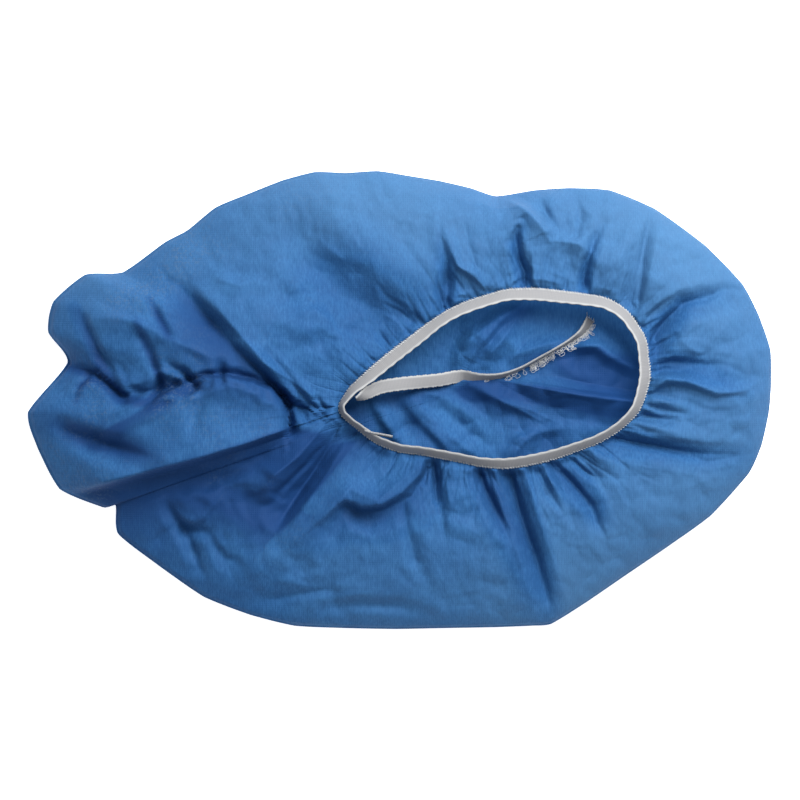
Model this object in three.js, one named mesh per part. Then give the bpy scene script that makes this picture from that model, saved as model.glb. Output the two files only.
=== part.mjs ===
// A disposable nonwoven shoe cover, lying relaxed on a flat surface with its mouth up.
// One bag of fabric is gathered onto a flat elastic tape that rings the mouth. Its far end is bunched
// along a puckered seam, with one lobe folded over the body. The tape ends in a long free tail inside
// the mouth and a short cut stub beside it.
// Millimetres. X runs from the bunched end to the smooth end, Y across, Z up from the surface.
import * as THREE from "three";

// Overall size of the fabric as it lies.
const LENGTH = 360;
const WIDTH = 222;
// Height that the top layer stands at, and height of the tape's middle over the surface.
const PUFF = 24;
const MOUTH_HEIGHT = 21;
const FABRIC = 1;

// The elastic tape. The ring, its free tail and its stub are all cut from it.
const TAPE_WIDTH = 6.5;
const TAPE_THICKNESS = 1;
// How far the fabric under the tape reaches inside the tape's centre line.
const OVERLAP = 0.6;
// Clear distance between two pieces that touch on the real cover.
const GAP = 0.3;

// The rolled outer edge: its widest point is this high, and the sole starts this far in from it.
const EDGE_HEIGHT = 2.5;
const EDGE_INSET = 2;
const EDGE_SQUARENESS = 5;
// Share of the way out at which the top layer has risen from the tape to its crown height.
const CROWN_REACH = 0.45;

// Pleats that the tape draws into the fabric, and how far they run out from it.
const PLEAT_HEIGHT = 1.4;
const PLEAT_REACH = 18;
// The least room left between the two layers, and the distances over which folds start beside the
// tape and end at the outer edge.
const LEAST_ROOM = 4;
const FOLD_START = 6;
const FOLD_END = 0.14;

// Mesh density: sides of the surface between two sections, the shares of the way from the tape to the
// outer edge at which the top layer has a row, and those of the way from there to the sole's middle.
const SIDES_PER_SECTION = 2;
const TOP_ROWS = [0, 0.05, 0.12, 0.21, 0.31, 0.42, 0.54, 0.66, 0.78, 0.88, 0.95, 0.99, 1];
const SOLE_ROWS = [0, 0.2, 0.38, 0.5, 0.59, 0.67, 0.75, 0.82, 0.89, 0.95];
const SOLE_MIDDLE = { x: 0.128, y: 0.044 };

// Sections of the top layer round the mouth, anticlockwise from the smooth end. Each leaves the tape's
// centre line at (rimX, rimY) and meets the outer edge at (edgeX, edgeY), in shares of length and width.
// crown is the height between them, in shares of PUFF. lean is how far the tape's outer side dips there,
// in degrees: it stands nearly on edge at the narrow corner of the mouth.
const SECTIONS = [
  { rimX: 0.3287, rimY: 0.0479, edgeX: 0.5, edgeY: 0.035, crown: 0.86, lean: 36 },
  { rimX: 0.3273, rimY: 0.0919, edgeX: 0.499, edgeY: 0.11, crown: 0.86, lean: 42 },
  { rimX: 0.324, rimY: 0.129, edgeX: 0.483, edgeY: 0.186, crown: 0.88, lean: 42 },
  { rimX: 0.3129, rimY: 0.1607, edgeX: 0.461, edgeY: 0.254, crown: 0.9, lean: 42 },
  { rimX: 0.2982, rimY: 0.1894, edgeX: 0.411, edgeY: 0.338, crown: 0.92, lean: 40 },
  { rimX: 0.2749, rimY: 0.2108, edgeX: 0.344, edgeY: 0.417, crown: 0.92, lean: 36 },
  { rimX: 0.2464, rimY: 0.2189, edgeX: 0.283, edgeY: 0.458, crown: 0.92, lean: 31 },
  { rimX: 0.2163, rimY: 0.2247, edgeX: 0.229, edgeY: 0.463, crown: 0.92, lean: 24 },
  { rimX: 0.1862, rimY: 0.2297, edgeX: 0.182, edgeY: 0.458, crown: 0.92, lean: 24 },
  { rimX: 0.162, rimY: 0.2302, edgeX: 0.13, edgeY: 0.445, crown: 0.94, lean: 29 },
  { rimX: 0.1421, rimY: 0.2278, edgeX: 0.095, edgeY: 0.463, crown: 0.97, lean: 32 },
  { rimX: 0.119, rimY: 0.2174, edgeX: 0.055, edgeY: 0.478, crown: 1, lean: 35 },
  { rimX: 0.0943, rimY: 0.2045, edgeX: 0.014, edgeY: 0.489, crown: 1, lean: 33 },
  { rimX: 0.0709, rimY: 0.1881, edgeX: -0.029, edgeY: 0.5, crown: 1, lean: 35 },
  { rimX: 0.0488, rimY: 0.1654, edgeX: -0.073, edgeY: 0.496, crown: 1, lean: 35 },
  { rimX: 0.0271, rimY: 0.138, edgeX: -0.114, edgeY: 0.498, crown: 1, lean: 23 },
  { rimX: 0.0059, rimY: 0.1116, edgeX: -0.157, edgeY: 0.48, crown: 1, lean: 20 },
  { rimX: -0.014, rimY: 0.0866, edgeX: -0.201, edgeY: 0.452, crown: 1, lean: 17 },
  { rimX: -0.0325, rimY: 0.062, edgeX: -0.247, edgeY: 0.421, crown: 1, lean: 22 },
  { rimX: -0.0469, rimY: 0.0426, edgeX: -0.285, edgeY: 0.371, crown: 1, lean: 35 },
  { rimX: -0.0588, rimY: 0.0272, edgeX: -0.316, edgeY: 0.344, crown: 1.02, lean: 48 },
  { rimX: -0.0666, rimY: 0.0145, edgeX: -0.372, edgeY: 0.279, crown: 1.15, lean: 57 },
  { rimX: -0.071, rimY: 0.005, edgeX: -0.423, edgeY: 0.274, crown: 1.28, lean: 62 },
  { rimX: -0.0737, rimY: -0.0014, edgeX: -0.466, edgeY: 0.215, crown: 1.3, lean: 65 },
  { rimX: -0.0768, rimY: -0.0079, edgeX: -0.473, edgeY: 0.149, crown: 1.28, lean: 67 },
  { rimX: -0.078, rimY: -0.015, edgeX: -0.446, edgeY: 0.083, crown: 1.22, lean: 68 },
  { rimX: -0.0769, rimY: -0.0231, edgeX: -0.5, edgeY: -0.026, crown: 1.22, lean: 69 },
  { rimX: -0.0746, rimY: -0.0305, edgeX: -0.487, edgeY: -0.105, crown: 1.12, lean: 70 },
  { rimX: -0.0707, rimY: -0.0369, edgeX: -0.457, edgeY: -0.195, crown: 1, lean: 70 },
  { rimX: -0.066, rimY: -0.044, edgeX: -0.398, edgeY: -0.235, crown: 0.86, lean: 70 },
  { rimX: -0.0604, rimY: -0.051, edgeX: -0.382, edgeY: -0.228, crown: 0.8, lean: 70 },
  { rimX: -0.0539, rimY: -0.0586, edgeX: -0.379, edgeY: -0.292, crown: 0.78, lean: 68 },
  { rimX: -0.0444, rimY: -0.0703, edgeX: -0.322, edgeY: -0.364, crown: 0.8, lean: 64 },
  { rimX: -0.0331, rimY: -0.0834, edgeX: -0.263, edgeY: -0.43, crown: 0.84, lean: 61 },
  { rimX: -0.0173, rimY: -0.0952, edgeX: -0.201, edgeY: -0.469, crown: 0.88, lean: 57 },
  { rimX: 0.0027, rimY: -0.1054, edgeX: -0.141, edgeY: -0.493, crown: 0.9, lean: 57 },
  { rimX: 0.0278, rimY: -0.11, edgeX: -0.073, edgeY: -0.498, crown: 0.92, lean: 57 },
  { rimX: 0.0546, rimY: -0.1177, edgeX: -0.006, edgeY: -0.5, crown: 0.92, lean: 54 },
  { rimX: 0.0806, rimY: -0.1256, edgeX: 0.061, edgeY: -0.498, crown: 0.92, lean: 54 },
  { rimX: 0.1079, rimY: -0.1346, edgeX: 0.129, edgeY: -0.496, crown: 0.92, lean: 51 },
  { rimX: 0.135, rimY: -0.138, edgeX: 0.176, edgeY: -0.493, crown: 0.92, lean: 44 },
  { rimX: 0.1549, rimY: -0.1359, edgeX: 0.204, edgeY: -0.489, crown: 0.92, lean: 42 },
  { rimX: 0.1818, rimY: -0.1283, edgeX: 0.25, edgeY: -0.443, crown: 0.92, lean: 42 },
  { rimX: 0.2085, rimY: -0.1176, edgeX: 0.303, edgeY: -0.384, crown: 0.9, lean: 46 },
  { rimX: 0.2352, rimY: -0.1031, edgeX: 0.361, edgeY: -0.32, crown: 0.9, lean: 51 },
  { rimX: 0.2622, rimY: -0.087, edgeX: 0.419, edgeY: -0.252, crown: 0.88, lean: 54 },
  { rimX: 0.2856, rimY: -0.0663, edgeX: 0.47, edgeY: -0.16, crown: 0.86, lean: 56 },
  { rimX: 0.3054, rimY: -0.0399, edgeX: 0.487, edgeY: -0.099, crown: 0.86, lean: 55 },
  { rimX: 0.319, rimY: -0.0098, edgeX: 0.497, edgeY: -0.026, crown: 0.86, lean: 49 },
];

// Folds of the top layer. A path is a list of [x, y, height] in shares of length, width and PUFF, and
// left and right are how far the fold spreads on each side of it, in shares of width. A negative height
// is a valley.
const TOP_FOLDS = [
  {
    name: "seam pucker line",
    left: 0.054,
    right: 0.054,
    path: [
      [-0.454, 0.079, -0.29],
      [-0.407, 0.057, -0.46],
      [-0.367, 0.007, -0.54],
      [-0.322, 0.026, -0.5],
      [-0.273, 0.035, -0.46],
      [-0.235, 0.048, -0.38],
      [-0.161, 0.011, -0.29],
      [-0.083, -0.013, -0.12],
    ],
  },
  {
    name: "valley beside the upper lobe",
    left: 0.054,
    right: 0.081,
    path: [
      [-0.316, 0.303, -0.08],
      [-0.275, 0.219, -0.33],
      [-0.235, 0.125, -0.42],
      [-0.185, 0.057, -0.38],
      [-0.134, -0.004, -0.21],
    ],
  },
  {
    name: "body edge over that valley",
    left: 0.135,
    right: 0.054,
    path: [
      [-0.295, 0.303, 0.04],
      [-0.259, 0.237, 0.17],
      [-0.205, 0.125, 0.21],
      [-0.158, 0.044, 0.17],
      [-0.114, -0.013, 0.08],
    ],
  },
  {
    name: "body ridge",
    left: 0.117,
    right: 0.117,
    path: [[-0.127, 0.456, 0.08], [-0.067, 0.362, 0.21], [0.001, 0.274, 0.21], [0.048, 0.219, 0.08]],
  },
  {
    name: "body hollow",
    left: 0.09,
    right: 0.09,
    path: [
      [-0.134, 0.362, -0.08],
      [-0.083, 0.252, -0.25],
      [-0.02, 0.164, -0.21],
      [-0.002, 0.121, -0.08],
    ],
  },
  {
    name: "ridge by the corner",
    left: 0.068,
    right: 0.068,
    path: [[-0.221, 0.219, 0.08], [-0.174, 0.186, 0.17], [-0.12, 0.143, 0.17], [-0.073, 0.022, 0.04]],
  },
  {
    name: "overlap at the top notch",
    left: 0.032,
    right: 0.081,
    path: [[0.131, 0.441, 0], [0.169, 0.417, 0.17], [0.2, 0.368, 0.17], [0.203, 0.34, 0]],
  },
  {
    name: "top valley",
    left: 0.036,
    right: 0.036,
    path: [[0.17, 0.241, -0.17], [0.162, 0.303, -0.21], [0.154, 0.344, -0.17], [0.173, 0.41, 0]],
  },
  {
    name: "top ridge",
    left: 0.041,
    right: 0.041,
    path: [
      [0.122, 0.237, 0.12],
      [0.102, 0.274, 0.17],
      [0.075, 0.294, 0.17],
      [0.059, 0.351, 0.12],
      [0.055, 0.428, 0],
    ],
  },
  {
    name: "top left valley",
    left: 0.041,
    right: 0.041,
    path: [[0.064, 0.215, -0.17], [0.064, 0.263, -0.17], [0.052, 0.362, 0]],
  },
  {
    name: "top right valley",
    left: 0.036,
    right: 0.036,
    path: [[0.246, 0.232, -0.17], [0.25, 0.281, -0.17], [0.27, 0.384, 0]],
  },
  {
    name: "top right ridge",
    left: 0.045,
    right: 0.045,
    path: [[0.277, 0.232, 0.12], [0.289, 0.303, 0.12], [0.334, 0.412, 0]],
  },
  {
    name: "toe corner valley",
    left: 0.045,
    right: 0.036,
    path: [[0.31, 0.208, -0.17], [0.32, 0.285, -0.17], [0.333, 0.401, 0]],
  },
  {
    name: "toe upper valley",
    left: 0.036,
    right: 0.054,
    path: [[0.338, 0.132, -0.21], [0.356, 0.171, -0.25], [0.38, 0.211, -0.21], [0.469, 0.243, -0.04]],
  },
  {
    name: "toe ridge",
    left: 0.027,
    right: 0.045,
    path: [[0.344, 0.026, 0.08], [0.364, 0.044, 0.17], [0.425, 0.02, 0.12], [0.478, 0.044, 0]],
  },
  {
    name: "toe hollow",
    left: 0.036,
    right: 0.036,
    path: [[0.344, 0.077, -0.12], [0.391, 0.075, -0.12], [0.438, 0.057, 0]],
  },
  {
    name: "toe lower valley",
    left: 0.032,
    right: 0.05,
    path: [[0.283, -0.083, -0.21], [0.33, -0.096, -0.25], [0.404, -0.116, -0.21], [0.469, -0.121, 0]],
  },
  {
    name: "toe lower ridge",
    left: 0.036,
    right: 0.036,
    path: [[0.313, -0.055, 0.08], [0.364, -0.072, 0.12], [0.425, -0.088, 0]],
  },
  {
    name: "bottom right valley",
    left: 0.036,
    right: 0.036,
    path: [[0.212, -0.136, -0.17], [0.239, -0.191, -0.21], [0.26, -0.23, -0.17], [0.274, -0.303, 0]],
  },
  {
    name: "bottom valley",
    left: 0.041,
    right: 0.041,
    path: [[0.15, -0.162, -0.25], [0.162, -0.246, -0.33], [0.184, -0.351, -0.25], [0.205, -0.465, 0]],
  },
  {
    name: "bottom left valley",
    left: 0.032,
    right: 0.036,
    path: [[0.108, -0.156, -0.21], [0.126, -0.226, -0.25], [0.162, -0.325, 0]],
  },
  {
    name: "bottom tuck",
    left: 0.032,
    right: 0.032,
    path: [[0.045, -0.14, -0.25], [0.05, -0.197, -0.17], [0.059, -0.307, 0]],
  },
  {
    name: "long diagonal ridge",
    left: 0.059,
    right: 0.077,
    path: [
      [0.041, -0.14, 0.12],
      [-0.029, -0.219, 0.21],
      [-0.067, -0.197, 0.21],
      [-0.114, -0.263, 0.17],
      [-0.231, -0.417, 0],
    ],
  },
  {
    name: "corner roll",
    left: 0.059,
    right: 0.059,
    path: [
      [-0.087, -0.031, 0.12],
      [-0.127, -0.09, 0.21],
      [-0.168, -0.154, 0.21],
      [-0.18, -0.197, 0.04],
    ],
  },
  {
    name: "valley below the roll",
    left: 0.059,
    right: 0.059,
    path: [
      [-0.069, -0.099, -0.17],
      [-0.112, -0.145, -0.29],
      [-0.139, -0.215, -0.29],
      [-0.168, -0.279, -0.04],
    ],
  },
  {
    name: "hollow under the flap",
    left: 0.054,
    right: 0.054,
    path: [[-0.302, -0.154, -0.08], [-0.221, -0.175, -0.12], [-0.185, -0.219, -0.12]],
  },
  {
    name: "long hollow",
    left: 0.041,
    right: 0.036,
    path: [[-0.164, -0.362, 0], [-0.127, -0.384, -0.12], [-0.094, -0.41, 0]],
  },
  {
    name: "upper lobe first pleat",
    left: 0.045,
    right: 0.045,
    path: [[-0.433, 0.208, 0], [-0.407, 0.125, -0.17], [-0.369, 0.018, -0.12]],
  },
  {
    name: "upper lobe ridge",
    left: 0.063,
    right: 0.054,
    path: [[-0.403, 0.18, 0.04], [-0.353, 0.169, 0.12], [-0.275, 0.11, 0.12], [-0.242, 0.083, 0.08]],
  },
  {
    name: "upper lobe second pleat",
    left: 0.045,
    right: 0.045,
    path: [[-0.353, 0.16, 0], [-0.337, 0.11, -0.17], [-0.32, 0.044, -0.12]],
  },
  {
    name: "lower lobe hollow",
    left: 0.045,
    right: 0.063,
    path: [
      [-0.481, -0.033, -0.08],
      [-0.423, -0.072, -0.25],
      [-0.379, -0.09, -0.25],
      [-0.325, -0.121, 0],
    ],
  },
  {
    name: "lower lobe tuck",
    left: 0.05,
    right: 0.05,
    path: [[-0.316, -0.004, -0.12], [-0.349, -0.024, -0.17], [-0.403, -0.079, -0.08]],
  },
  {
    name: "flap top ridge",
    left: 0.054,
    right: 0.063,
    path: [[-0.264, 0.022, 0.08], [-0.231, 0.044, 0.12], [-0.168, 0.015, 0.08]],
  },
  {
    name: "flap folded edge",
    left: 0.189,
    right: 0.05,
    path: [
      [-0.454, -0.202, 0.29],
      [-0.383, -0.175, 0.5],
      [-0.316, -0.145, 0.58],
      [-0.242, -0.112, 0.54],
      [-0.174, -0.077, 0.33],
      [-0.147, -0.061, 0.04],
    ],
  },
  {
    name: "flap end",
    left: 0.05,
    right: 0.05,
    path: [[-0.149, -0.07, -0.08], [-0.151, -0.026, -0.12], [-0.161, 0.009, -0.08]],
  },
];

// Folds of the sole layer that show through the mouth.
const SOLE_FOLDS = [
  {
    name: "centre ridge",
    left: 0.041,
    right: 0.045,
    path: [[0.092, 0.039, 0], [0.135, 0, 0.17], [0.169, -0.026, 0.17], [0.203, -0.055, 0]],
  },
  {
    name: "long fold",
    left: 0.041,
    right: 0.068,
    path: [
      [0.135, 0.042, 0],
      [0.216, 0.026, 0.21],
      [0.27, 0.009, 0.29],
      [0.324, -0.004, 0.29],
      [0.367, -0.013, 0],
    ],
  },
  {
    name: "toe fold",
    left: 0.045,
    right: 0.041,
    path: [
      [0.232, 0.107, 0],
      [0.256, 0.121, 0.17],
      [0.279, 0.094, 0.25],
      [0.324, 0.066, 0.25],
      [0.361, 0.044, 0],
    ],
  },
  {
    name: "fold behind the tail",
    left: 0.041,
    right: 0.036,
    path: [[0.142, 0.075, 0], [0.182, 0.116, 0.17], [0.232, 0.136, 0]],
  },
  {
    name: "upper left fold",
    left: 0.041,
    right: 0.05,
    path: [[0.068, 0.057, 0], [0.092, 0.129, 0.17], [0.133, 0.18, 0.17], [0.182, 0.228, 0]],
  },
  {
    name: "lower left fold",
    left: 0.041,
    right: 0.041,
    path: [[0.003, 0.02, 0], [0.041, -0.033, 0.17], [0.098, -0.11, 0.12], [0.122, -0.143, 0]],
  },
  {
    name: "corner fold",
    left: 0.036,
    right: 0.036,
    path: [[-0.04, 0, 0], [-0.01, -0.061, 0.12], [0.003, -0.11, 0]],
  },
  {
    name: "lower fold",
    left: 0.032,
    right: 0.041,
    path: [[0.151, -0.132, 0], [0.169, -0.09, 0.12], [0.2, -0.061, 0]],
  },
];

// The free tail from the corner of the mouth to its cut end: the centre line in shares of length and
// width, its height in shares of MOUTH_HEIGHT where it hangs free, and its roll in degrees. 0 lies flat.
const TAIL = [
  { x: -0.058, y: 0.002, hang: 1.005, roll: 78 },
  { x: -0.05, y: 0.008, hang: 0.937, roll: 50 },
  { x: -0.04, y: 0.018, hang: 0.846, roll: 18 },
  { x: -0.024, y: 0.0285, hang: 0.743, roll: 4 },
  { x: 0.001, y: 0.035, hang: 0.617, roll: 0 },
  { x: 0.028, y: 0.0395, hang: 0.457, roll: 0 },
  { x: 0.0545, y: 0.044, hang: 0.309, roll: 0 },
  { x: 0.0815, y: 0.0515, hang: 0, roll: 0 },
  { x: 0.108, y: 0.049, hang: 0, roll: 14 },
  { x: 0.135, y: 0.0525, hang: 0, roll: 52 },
  { x: 0.162, y: 0.068, hang: 0, roll: 70 },
  { x: 0.189, y: 0.092, hang: 0, roll: 72 },
  { x: 0.209, y: 0.11, hang: 0, roll: 68 },
  { x: 0.2295, y: 0.1295, hang: 0, roll: 58 },
  { x: 0.2455, y: 0.149, hang: 0, roll: 50 },
  { x: 0.2565, y: 0.1755, hang: 0, roll: 46 },
];

// The cut stub beside it, which stands on edge along the inside of the ring.
const STUB = [
  { x: -0.0395, y: -0.0605, hang: 0.949, roll: 80 },
  { x: -0.029, y: -0.0635, hang: 0.914, roll: 82 },
  { x: -0.019, y: -0.0705, hang: 0.891, roll: 84 },
  { x: -0.0095, y: -0.079, hang: 0.869, roll: 84 },
];
// Extra height that lets a piece of tape clear the folds it lies on.
const LYING_CLEARANCE = 0.9;

const UP = new THREE.Vector3(0, 0, 1);

function toMillimetres([x, y, height]) {
  return new THREE.Vector3(x * LENGTH, y * WIDTH, height * PUFF);
}

// Height that one fold adds at (x, y): the height at the nearest point of its path, falling off
// smoothly to nothing over the fold's own spread on that side.
function foldHeight(fold, x, y) {
  let nearest = Infinity;
  let side = 0;
  let height = 0;
  for (let i = 0; i + 1 < fold.points.length; i++) {
    const start = fold.points[i];
    const end = fold.points[i + 1];
    const runX = end.x - start.x;
    const runY = end.y - start.y;
    const along = ((x - start.x) * runX + (y - start.y) * runY) / (runX * runX + runY * runY);
    const share = THREE.MathUtils.clamp(along, 0, 1);
    const offX = x - start.x - share * runX;
    const offY = y - start.y - share * runY;
    const distance = Math.hypot(offX, offY);
    if (distance < nearest) {
      nearest = distance;
      side = runX * offY - runY * offX;
      height = THREE.MathUtils.lerp(start.z, end.z, share);
    }
  }
  const spread = (side > 0 ? fold.left : fold.right) * WIDTH;
  return height * (1 - THREE.MathUtils.smoothstep(nearest / spread, 0, 1));
}

const topFolds = TOP_FOLDS.map((fold) => ({ ...fold, points: fold.path.map(toMillimetres) }));
const soleFolds = SOLE_FOLDS.map((fold) => ({ ...fold, points: fold.path.map(toMillimetres) }));

function sumOfFolds(folds, x, y) {
  return folds.reduce((sum, fold) => sum + foldHeight(fold, x, y), 0);
}

// Height of the sole layer's underside: it lies flat but for the folds seen through the mouth.
function soleHeight(x, y) {
  return Math.max(0, sumOfFolds(soleFolds, x, y));
}

// Closed curves through the sections. The edge curve carries the crown height as its z, and the lean
// curve carries the lean as its x.
function closedCurve(points) {
  return new THREE.CatmullRomCurve3(points, true, "catmullrom", 0.5);
}

const rimCurve = closedCurve(SECTIONS.map((row) => toMillimetres([row.rimX, row.rimY, 0])));
const edgeCurve = closedCurve(SECTIONS.map((row) => toMillimetres([row.edgeX, row.edgeY, row.crown])));
const leanCurve = closedCurve(SECTIONS.map((row) => new THREE.Vector3(row.lean, 0, 0)));

// One station of the mouth: the tape's middle, its direction across towards its outer side, its upper
// face's direction, and where the fabric starts under it, leaves it and reaches the outer edge.
function makeStation(number, count) {
  const t = number / count;
  const middle = rimCurve.getPoint(t).setZ(MOUTH_HEIGHT);
  const along = rimCurve.getTangent(t);
  const outward = new THREE.Vector3(along.y, -along.x, 0).normalize();
  const lean = THREE.MathUtils.degToRad(leanCurve.getPoint(t).x);
  const across = outward.clone().multiplyScalar(Math.cos(lean)).addScaledVector(UP, -Math.sin(lean));
  const face = outward.clone().multiplyScalar(Math.sin(lean)).addScaledVector(UP, Math.cos(lean));
  const under = middle.clone().addScaledVector(face, -(TAPE_THICKNESS / 2 + GAP));
  const start = under.clone().addScaledVector(across, -OVERLAP);
  const leave = under.clone().addScaledVector(across, TAPE_WIDTH / 2 + GAP);
  const edge = edgeCurve.getPoint(t);
  return { number, middle, across, face, start, leave, edge };
}

const stationCount = SECTIONS.length * SIDES_PER_SECTION;
const stations = Array.from({ length: stationCount }, (_, number) => makeStation(number, stationCount));

// A pleat beside the tape: up at one station and down at the next, dying away outward.
function pleatHeight(number, distance) {
  const strength = 0.65 + 0.35 * Math.cos(number * 1.7);
  const fade = Math.min(1, distance / FOLD_START) * Math.exp(-distance / PLEAT_REACH);
  return (number % 2 === 0 ? 1 : -1) * PLEAT_HEIGHT * strength * fade;
}

// Point of the top layer at a share of the way from the tape to the outer edge.
function topPoint(station, share) {
  const x = THREE.MathUtils.lerp(station.leave.x, station.edge.x, share);
  const y = THREE.MathUtils.lerp(station.leave.y, station.edge.y, share);
  const distance = Math.hypot(x - station.leave.x, y - station.leave.y);
  const crownShare = THREE.MathUtils.smoothstep(share, 0, CROWN_REACH);
  const flat = THREE.MathUtils.lerp(station.leave.z, station.edge.z, crownShare);
  const roll = Math.sqrt(Math.max(0, 1 - share ** EDGE_SQUARENESS));
  const foldShare = Math.min(1, distance / FOLD_START) * Math.min(1, (1 - share) / FOLD_END);
  const folds = foldShare * sumOfFolds(topFolds, x, y) + roll * pleatHeight(station.number, distance);
  const height = EDGE_HEIGHT + (flat - EDGE_HEIGHT) * roll + folds;
  const least = share < 1 - FOLD_END ? LEAST_ROOM + 2 * FABRIC : EDGE_HEIGHT;
  return new THREE.Vector3(x, y, Math.max(height, least));
}

// Point of the sole's underside at a share of the way from the outer edge to the sole's middle.
function solePoint(station, share) {
  const middle = toMillimetres([SOLE_MIDDLE.x, SOLE_MIDDLE.y, 0]);
  const edge = station.edge.clone().setZ(0);
  const inset = middle.clone().sub(edge).setLength(EDGE_INSET);
  const point = edge.add(inset).lerp(middle, share);
  return point.setZ(soleHeight(point.x, point.y));
}

// Outward direction of a grid of points at one of them, from its neighbours in both directions. It is
// lengthened at sharp bends, so that the wall keeps its thickness beside them.
function wallOffset(rows, row, column) {
  const around = rows[row].length;
  const here = rows[row][column];
  const next = rows[row][(column + 1) % around];
  const previous = rows[row][(column + around - 1) % around];
  const before = rows[Math.max(0, row - 1)][column];
  const after = rows[Math.min(rows.length - 1, row + 1)][column];
  const faces = [];
  for (const [side, sign] of [[next, 1], [previous, -1]]) {
    for (const [end, turn] of [[before, 1], [after, -1]]) {
      if (end === here) continue;
      const toSide = side.clone().sub(here);
      const toEnd = end.clone().sub(here);
      faces.push(toSide.cross(toEnd).multiplyScalar(sign * turn).normalize());
    }
  }
  const direction = faces.reduce((sum, face) => sum.add(face), new THREE.Vector3()).normalize();
  const tightest = Math.min(...faces.map((face) => face.dot(direction)));
  return direction.multiplyScalar(FABRIC / Math.max(tightest, 0.6));
}

// The bag: one wall from the tape over the top layer, round the outer edge and in to the middle of the
// sole. Its outer and inner faces share one mesh, in which each cell is split along the more level of
// its two diagonals, so that the mesh follows the folds.
function makeFabric() {
  const outer = [
    stations.map((station) => station.start),
    ...TOP_ROWS.map((share) => stations.map((station) => topPoint(station, share))),
    ...SOLE_ROWS.map((share) => stations.map((station) => solePoint(station, share))),
  ];
  const inner = outer.map((points, row) =>
    points.map((point, column) => point.clone().sub(wallOffset(outer, row, column))),
  );
  const pole = toMillimetres([SOLE_MIDDLE.x, SOLE_MIDDLE.y, 0]);
  pole.setZ(soleHeight(pole.x, pole.y));
  const points = [...outer.flat(), ...inner.flat(), pole, pole.clone().addScaledVector(UP, FABRIC)];
  const outerPole = points.length - 2;
  const innerPole = points.length - 1;
  const lastRow = outer.length - 1;
  const toInner = outer.length * stationCount;

  const index = [];
  for (let column = 0; column < stationCount; column++) {
    const next = (column + 1) % stationCount;
    index.push(column, next, toInner + next, column, toInner + next, toInner + column);
    for (let row = 0; row < lastRow; row++) {
      const a = row * stationCount + column;
      const b = row * stationCount + next;
      const c = b + stationCount;
      const d = a + stationCount;
      const levelAC = Math.abs(points[a].z - points[c].z) <= Math.abs(points[b].z - points[d].z);
      for (const [p, q, r] of levelAC ? [[a, b, c], [a, c, d]] : [[b, c, d], [b, d, a]]) {
        index.push(p, r, q, toInner + p, toInner + q, toInner + r);
      }
    }
    const last = lastRow * stationCount;
    index.push(last + next, last + column, outerPole);
    index.push(toInner + last + column, toInner + last + next, innerPole);
  }
  return new THREE.BufferGeometry().setFromPoints(points).setIndex(index);
}

// A flat tape through frames of { middle, across, face }, either closed on itself or with two cut ends.
function makeTape(frames, closed) {
  const points = [];
  for (const { middle, across, face } of frames) {
    for (const [side, level] of [[-1, -1], [1, -1], [1, 1], [-1, 1]]) {
      const corner = middle.clone().addScaledVector(across, (side * TAPE_WIDTH) / 2);
      points.push(corner.addScaledVector(face, (level * TAPE_THICKNESS) / 2));
    }
  }
  const index = [];
  const steps = closed ? frames.length : frames.length - 1;
  for (let step = 0; step < steps; step++) {
    for (let side = 0; side < 4; side++) {
      const a = step * 4 + side;
      const b = step * 4 + ((side + 1) % 4);
      const c = ((step + 1) % frames.length) * 4 + ((side + 1) % 4);
      const d = ((step + 1) % frames.length) * 4 + side;
      index.push(a, c, b, a, d, c);
    }
  }
  if (!closed) {
    const last = 4 * (frames.length - 1);
    index.push(0, 1, 2, 0, 2, 3, last, last + 2, last + 1, last, last + 3, last + 2);
  }
  return new THREE.BufferGeometry().setFromPoints(points).setIndex(index);
}

// Frames of a loose end. Where it has no height of its own it lies on the sole, raised so far that the
// whole of its rolled width clears the folds.
function looseEnd(rows) {
  const plan = rows.map((row) => toMillimetres([row.x, row.y, 0]));
  return rows.map((row, number) => {
    const before = plan[Math.max(0, number - 1)];
    const after = plan[Math.min(rows.length - 1, number + 1)];
    const along = after.clone().sub(before).normalize();
    const sideways = new THREE.Vector3(along.y, -along.x, 0);
    const roll = THREE.MathUtils.degToRad(row.roll);
    const across = sideways.clone().multiplyScalar(Math.cos(roll)).addScaledVector(UP, -Math.sin(roll));
    const face = sideways.clone().multiplyScalar(Math.sin(roll)).addScaledVector(UP, Math.cos(roll));
    let lying = 0;
    for (const share of [-0.5, -0.25, 0, 0.25, 0.5]) {
      const spot = plan[number].clone().addScaledVector(across, share * TAPE_WIDTH);
      const floor = soleHeight(spot.x, spot.y) + FABRIC + LYING_CLEARANCE;
      lying = Math.max(lying, floor + TAPE_THICKNESS / 2 - spot.z);
    }
    const middle = plan[number].clone().setZ(Math.max(row.hang * MOUTH_HEIGHT, lying));
    return { middle, across, face };
  });
}

const cover = new THREE.Group();
cover.name = "shoe_cover";

function addPiece(name, geometry) {
  const mesh = new THREE.Mesh(geometry);
  mesh.name = name;
  cover.add(mesh);
}

addPiece("fabric_body", makeFabric());
addPiece("elastic_band", makeTape(stations, true));
addPiece("elastic_tail", makeTape(looseEnd(TAIL), false));
addPiece("elastic_stub", makeTape(looseEnd(STUB), false));

export default cover;
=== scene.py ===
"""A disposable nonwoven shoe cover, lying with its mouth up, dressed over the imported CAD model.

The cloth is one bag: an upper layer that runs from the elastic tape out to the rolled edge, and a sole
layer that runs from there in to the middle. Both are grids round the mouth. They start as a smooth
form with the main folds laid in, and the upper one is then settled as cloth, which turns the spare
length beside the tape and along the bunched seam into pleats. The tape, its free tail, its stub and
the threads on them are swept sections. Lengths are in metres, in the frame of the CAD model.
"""

import logging
import math
from dataclasses import dataclass, field
from enum import Enum

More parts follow.
